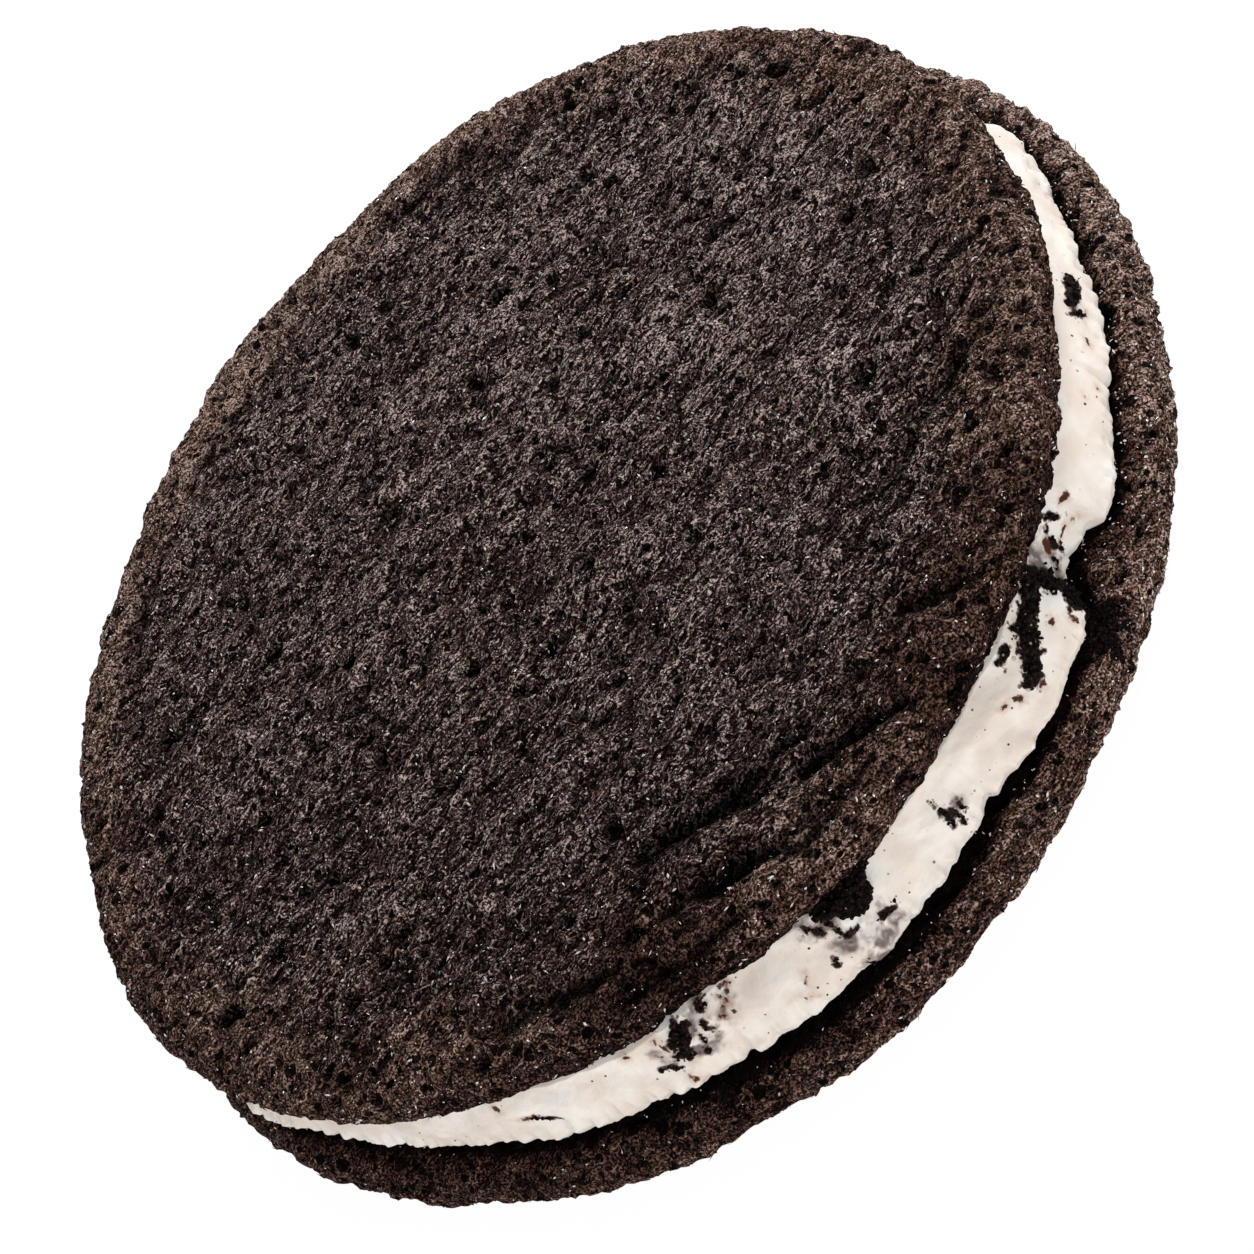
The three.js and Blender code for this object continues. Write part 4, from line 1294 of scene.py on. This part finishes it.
class COOKIE_OT_grains(bpy.types.Operator):
    """Strews the wafers with fibres of crumb and with sugar whose pale colour also paints glints, and their
    rims with coarse crumbs
    """

    bl_idname = "cookie.grains"
    bl_label = "Grains on the Wafers"

    def execute(self, context):
        settings = context.scene.cookie_wafers
        width = settings.strand_width / MM
        grains = grain_material("grains", settings)
        fibre_piece("upper_curls", UPPER, settings, curled_fibres, 7400, width, grains)
        fibre_piece("upper_strands", UPPER, settings, short_strands, 15000, width, grains)
        fibre_piece("lower_curls", LOWER, settings, curled_fibres, 7400, width, grains)
        fibre_piece("lower_strands", LOWER, settings, short_strands, 11000, width, grains)
        sugar_glint_piece("upper_sugar_glints", UPPER, settings, 4500)
        sugar_glint_piece("lower_sugar_glints", LOWER, settings, 7500)
        rim_crumb_piece("upper_rim_crumbs", UPPER, settings, 5500, grains)
        rim_crumb_piece("lower_rim_crumbs", LOWER, settings, 5500, grains)
        return {"FINISHED"}


class COOKIE_OT_cream(bpy.types.Operator):
    """Spreads the cream filling between the wafers"""

    bl_idname = "cookie.cream"
    bl_label = "Cream Filling"

    def execute(self, context):
        settings = context.scene.cookie_cream
        points, quads, angle, height = self.layer(settings.steps_round, settings.steps_up)
        # The small pits are painted dark too, with the specks' brown.
        pits = tuple((*pit, *pit, 0.12) for pit in CREAM_PITS)
        marks = {
            "crumb": streak_field(angle, height, CRUMB_STREAKS, CRUMB_TORN),
            "grey": streak_field(angle, height, GREY_STREAKS, GREY_TORN),
            "brown": streak_field(angle, height, BROWN_STREAKS + pits, BROWN_TORN),
        }
        marks = {label: np.append(values, [FAR_OUTSIDE] * 2) for label, values in marks.items()}
        material = cream_material(settings)
        piece = new_piece("cream_spread", points, quads, material, attributes=marks)
        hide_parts("cream_filling")
        return {"FINISHED"}

    def layer(self, columns, rows):
        """The cream's points and quads, and the angle and height of the points on its side: a grid round the
        side, with closer rows low down, closed by quads to a middle point at the foot and one at the top."""
        angle = np.linspace(0, 2 * math.pi, columns, endpoint=False)
        share = np.linspace(0, 1, rows) ** 1.25
        angle, height = (a.ravel() for a in np.meshgrid(angle, FILLING_HEIGHT * share, indexing="xy"))
        side = on_cream(angle, height, cream_radius(angle, height))
        middles = np.array([[*UPPER_MIDDLE, LOWER_FACE], [*UPPER_MIDDLE, UPPER_BASE]])
        first = np.arange(0, columns, 2)
        beyond = (first + 2) % columns
        foot = np.stack([np.full(len(first), len(side)), beyond, first + 1, first], -1)
        top = np.stack([np.full(len(first), len(side) + 1), first, first + 1, beyond], -1)
        top[:, 1:] += (rows - 1) * columns
        quads = np.concatenate([grid_faces(rows, columns, closed=True), foot, top])
        return np.concatenate([side, middles]), quads, angle, height


class COOKIE_OT_crumbs(bpy.types.Operator):
    """Presses dark wafer crumbs into the side of the cream"""

    bl_idname = "cookie.crumbs"
    bl_label = "Crumbs in the Cream"

    def execute(self, context):
        random = np.random.default_rng(21)
        heaps = (self.caught(random), self.big_lump(random), self.fallen(random))
        place = np.concatenate([places for places, _ in heaps])
        size = np.concatenate([sizes for _, sizes in heaps])
        points, faces = ball(6, 3)
        rough = points * random.uniform(0.6, 1.35, (len(place), len(points), 1))
        frames = np.linalg.qr(random.normal(size=(len(place), 3, 3)))[0]
        frames *= np.sign(np.linalg.det(frames))[:, None, None]
        stretch = size[:, None] * random.uniform(0.6, 1.3, (len(place), 3))
        points, faces, _ = set_down(rough, faces, place, frames, stretch)
        material = moist_material(context.scene.cookie_cream)
        new_piece("cream_crumbs", points, faces, material, smooth=False)
        return {"FINISHED"}

    def caught(self, random):
        """The balls caught in the cream, strewn along each streak of crumb and across it."""
        angles, heights, sizes = [], [], []
        for from_angle, from_height, to_angle, to_height, half_width in CRUMB_STREAKS:
            span = math.hypot(math.radians(to_angle - from_angle) * LIP_RADIUS, to_height - from_height)
            count = int(3 + 40 * half_width * (span + half_width))
            along = random.uniform(-0.1, 1.1, count)
            spread = random.normal(0, 0.55 * half_width, (2, count))
            angles.append(np.radians(from_angle + along * (to_angle - from_angle)) + spread[0] / LIP_RADIUS)
            heights.append(from_height + along * (to_height - from_height) + spread[1])
            sizes.append((0.05 + 0.22 * random.random(count) ** 2) * min(1.0, half_width + 0.5))
        angle, size = np.concatenate(angles), np.concatenate(sizes)
        height = np.clip(np.concatenate(heights), 0.4, FILLING_HEIGHT - 0.4)
        return on_cream(angle, height, cream_radius(angle, height) - 0.1 * size), size

    def big_lump(self, random):
        """The balls of one large round crumb that bulges out under the upper wafer's rim: uneven shells of
        balls, left open behind."""
        outward = towards(np.radians(BIG_LUMP_ANGLE))
        places = []
        for count, reach, rise, radii in BIG_LUMP:
            shell = unit(random.normal(size=(count, 3))) * random.uniform(0.8, 1.0, (count, 1))
            shell = shell[(shell * outward).sum(-1) > -0.35]
            shell *= 1 + 0.12 * smooth_noise(shell * 2.2, 55)[:, None]
            middle = outward * reach + np.array([*UPPER_MIDDLE, UPPER_BASE + rise])
            places.append(middle + shell * np.array(radii))
        places = np.concatenate(places)
        return places, random.uniform(0.08, 0.24, len(places))

    def fallen(self, random):
        """The balls of the small heaps that lie on the lower wafer against the lip, and down its rounded rim:
        its height there is a half ellipse in how far past the flat face each ball lies."""
        places, sizes = [], []
        for angle, reach, spread in FALLEN:
            count = int(260 * spread)
            middle = (towards(np.radians(angle)) * reach)[:2] + np.array(UPPER_MIDDLE)
            away = random.normal(0, 1, (count, 2)) * spread
            height = spread * np.exp(-(away**2).sum(-1) / spread**2) * random.random(count)
            size = 0.06 + 0.22 * random.random(count) ** 2
            x, y = (middle + away - np.array(LOWER_MIDDLE)).T
            flat = LOWER_RADIUS - RIM_ROUNDING + lobed(np.arctan2(y, x), LOWER_LOBES)
            past = np.clip((np.hypot(x, y) - flat) / RIM_ROUNDING, 0, 1)
            height += LOWER_FACE / 2 * (1 + np.sqrt(1 - past**2)) - SKIN
            kept = past < 0.8
            places.append(np.column_stack([middle + away, height])[kept])
            sizes.append(size[kept])
        return np.concatenate(places), np.concatenate(sizes)


# ---- Studio ----

# The camera's place in millimetres, and how far it looks down, its roll and its field of view in degrees.
CAMERA_PLACE = (-1.042, -191.478, 166.359)
CAMERA_ELEVATION = 40.7
CAMERA_ROLL = 53.2
CAMERA_ANGLE = 18.0
# Sizes of the studio, in metres.
FLOOR_HALF = 3.0
FLOOR_DROP = 0.0001
LAMP_DISTANCE = 0.8
# The lamps' directions from the cookie, and their sizes.
KEY_LAMP = (0.70, 0.34, 0.62), 0.35
FILL_LAMP = (-0.17, -0.94, 0.3), 0.6


class COOKIE_OT_stage(bpy.types.Operator):
    """Sets the floor, the soft studio light and the camera"""

    bl_idname = "cookie.stage"
    bl_label = "Studio"

    def execute(self, context):
        studio = context.scene.cookie_studio
        self.floor(studio)
        self.lights(context, studio)
        self.camera(context)
        context.scene.view_settings.view_transform = "Standard"
        return {"FINISHED"}

    def floor(self, studio):
        """A level square just under the cookie, pale because it glows."""
        corners = [(x * FLOOR_HALF, y * FLOOR_HALF, 0) for x, y in ((-1, -1), (1, -1), (1, 1), (-1, 1))]
        mesh = bpy.data.meshes.new("floor")
        mesh.from_pydata(corners, [], [(0, 1, 2, 3)])
        recipe = Recipe("floor")
        recipe.surface(studio.floor_colour, roughness=0.9, specular=0.0)
        recipe.shader.inputs["Emission Color"].default_value = (1, 1, 1, 1)
        recipe.shader.inputs["Emission Strength"].default_value = studio.floor_glow
        mesh.materials.append(recipe.material)
        floor = bpy.data.objects.new("floor", mesh)
        floor.location = (0, 0, -FLOOR_DROP)
        bpy.context.scene.collection.objects.link(floor)

    def lights(self, context, studio):
        """An even white room, a high key light on the right and a low fill light in front."""
        world = bpy.data.worlds.new("room")
        world.use_nodes = True
        background = world.node_tree.nodes["Background"]
        background.inputs["Color"].default_value = (1, 1, 1, 1)
        background.inputs["Strength"].default_value = studio.room_light
        context.scene.world = world
        lamps = (("key", *KEY_LAMP, studio.key_power), ("fill", *FILL_LAMP, studio.fill_power))
        for name, direction, size, power in lamps:
            direction = unit(np.array(direction))
            light = bpy.data.lights.new(name, "AREA")
            light.size = size
            light.energy = power
            lamp = bpy.data.objects.new(name, light)
            lamp.matrix_world = looking_along(-direction, direction * LAMP_DISTANCE)
            context.scene.collection.objects.link(lamp)

    def camera(self, context):
        """A camera whose lens gives the field of view over its whole sensor."""
        up, right, back = camera_axes()
        data = bpy.data.cameras.new("camera")
        data.sensor_width = 36.0
        data.lens = data.sensor_width / 2 / math.tan(math.radians(CAMERA_ANGLE / 2))
        data.clip_start = 0.01
        data.clip_end = 20.0
        camera = bpy.data.objects.new("camera", data)
        camera.matrix_world = placed(right, up, back, np.array(CAMERA_PLACE) * MM)
        context.scene.collection.objects.link(camera)
        context.scene.camera = camera


def camera_axes():
    """The camera's up, right and back directions: it looks down at the cookie from -Y, rolled about its
    view."""
    elevation, roll = math.radians(CAMERA_ELEVATION), math.radians(CAMERA_ROLL)
    back = np.array([0, -math.cos(elevation), math.sin(elevation)])
    level = np.array([1.0, 0, 0])
    upright = np.cross(back, level)
    right = math.cos(roll) * level - math.sin(roll) * upright
    up = math.sin(roll) * level + math.cos(roll) * upright
    return up, right, back


def looking_along(direction, place):
    """A matrix that puts a lamp at a place, shining along a direction."""
    back = unit(-direction)
    side = unit(np.cross([0, 0, 1], back))
    return placed(side, np.cross(back, side), back, place)


def placed(x_axis, y_axis, z_axis, place):
    """A matrix from its three axes and its place."""
    matrix = Matrix.Identity(4)
    for column, axis in enumerate((x_axis, y_axis, z_axis, place)):
        for row in range(3):
            matrix[row][column] = axis[row]
    return matrix


# ---- Panel and registration ----

OPERATORS = (
    COOKIE_OT_lower_wafer,
    COOKIE_OT_cream,
    COOKIE_OT_crumbs,
    COOKIE_OT_upper_wafer,
    COOKIE_OT_grains,
    COOKIE_OT_stage,
)


class COOKIE_PT_panel(bpy.types.Panel):
    """Lists the cookie's pieces and their settings"""

    bl_idname = "COOKIE_PT_panel"
    bl_label = "Chocolate Sandwich Cookie"
    bl_space_type = "VIEW_3D"
    bl_region_type = "UI"
    bl_category = "Cookie"

    def draw(self, context):
        for operator in OPERATORS:
            self.layout.operator(operator.bl_idname)
        for label, group in SETTINGS.items():
            box = self.layout.box()
            for setting in group.__annotations__:
                box.prop(getattr(context.scene, label), setting)


SETTINGS = {"cookie_wafers": WaferSettings, "cookie_cream": CreamSettings, "cookie_studio": StudioSettings}


def register():
    for made in (*SETTINGS.values(), *OPERATORS, COOKIE_PT_panel):
        bpy.utils.register_class(made)
    for label, group in SETTINGS.items():
        setattr(bpy.types.Scene, label, PointerProperty(type=group))


def unregister():
    for label in SETTINGS:
        delattr(bpy.types.Scene, label)
    for made in (COOKIE_PT_panel, *reversed(OPERATORS), *SETTINGS.values()):
        bpy.utils.unregister_class(made)


def main():
    register()
    bpy.ops.cookie.lower_wafer()
    bpy.ops.cookie.cream()
    bpy.ops.cookie.crumbs()
    bpy.ops.cookie.upper_wafer()
    bpy.ops.cookie.grains()
    bpy.ops.cookie.stage()


if __name__ == "__main__":
    main()
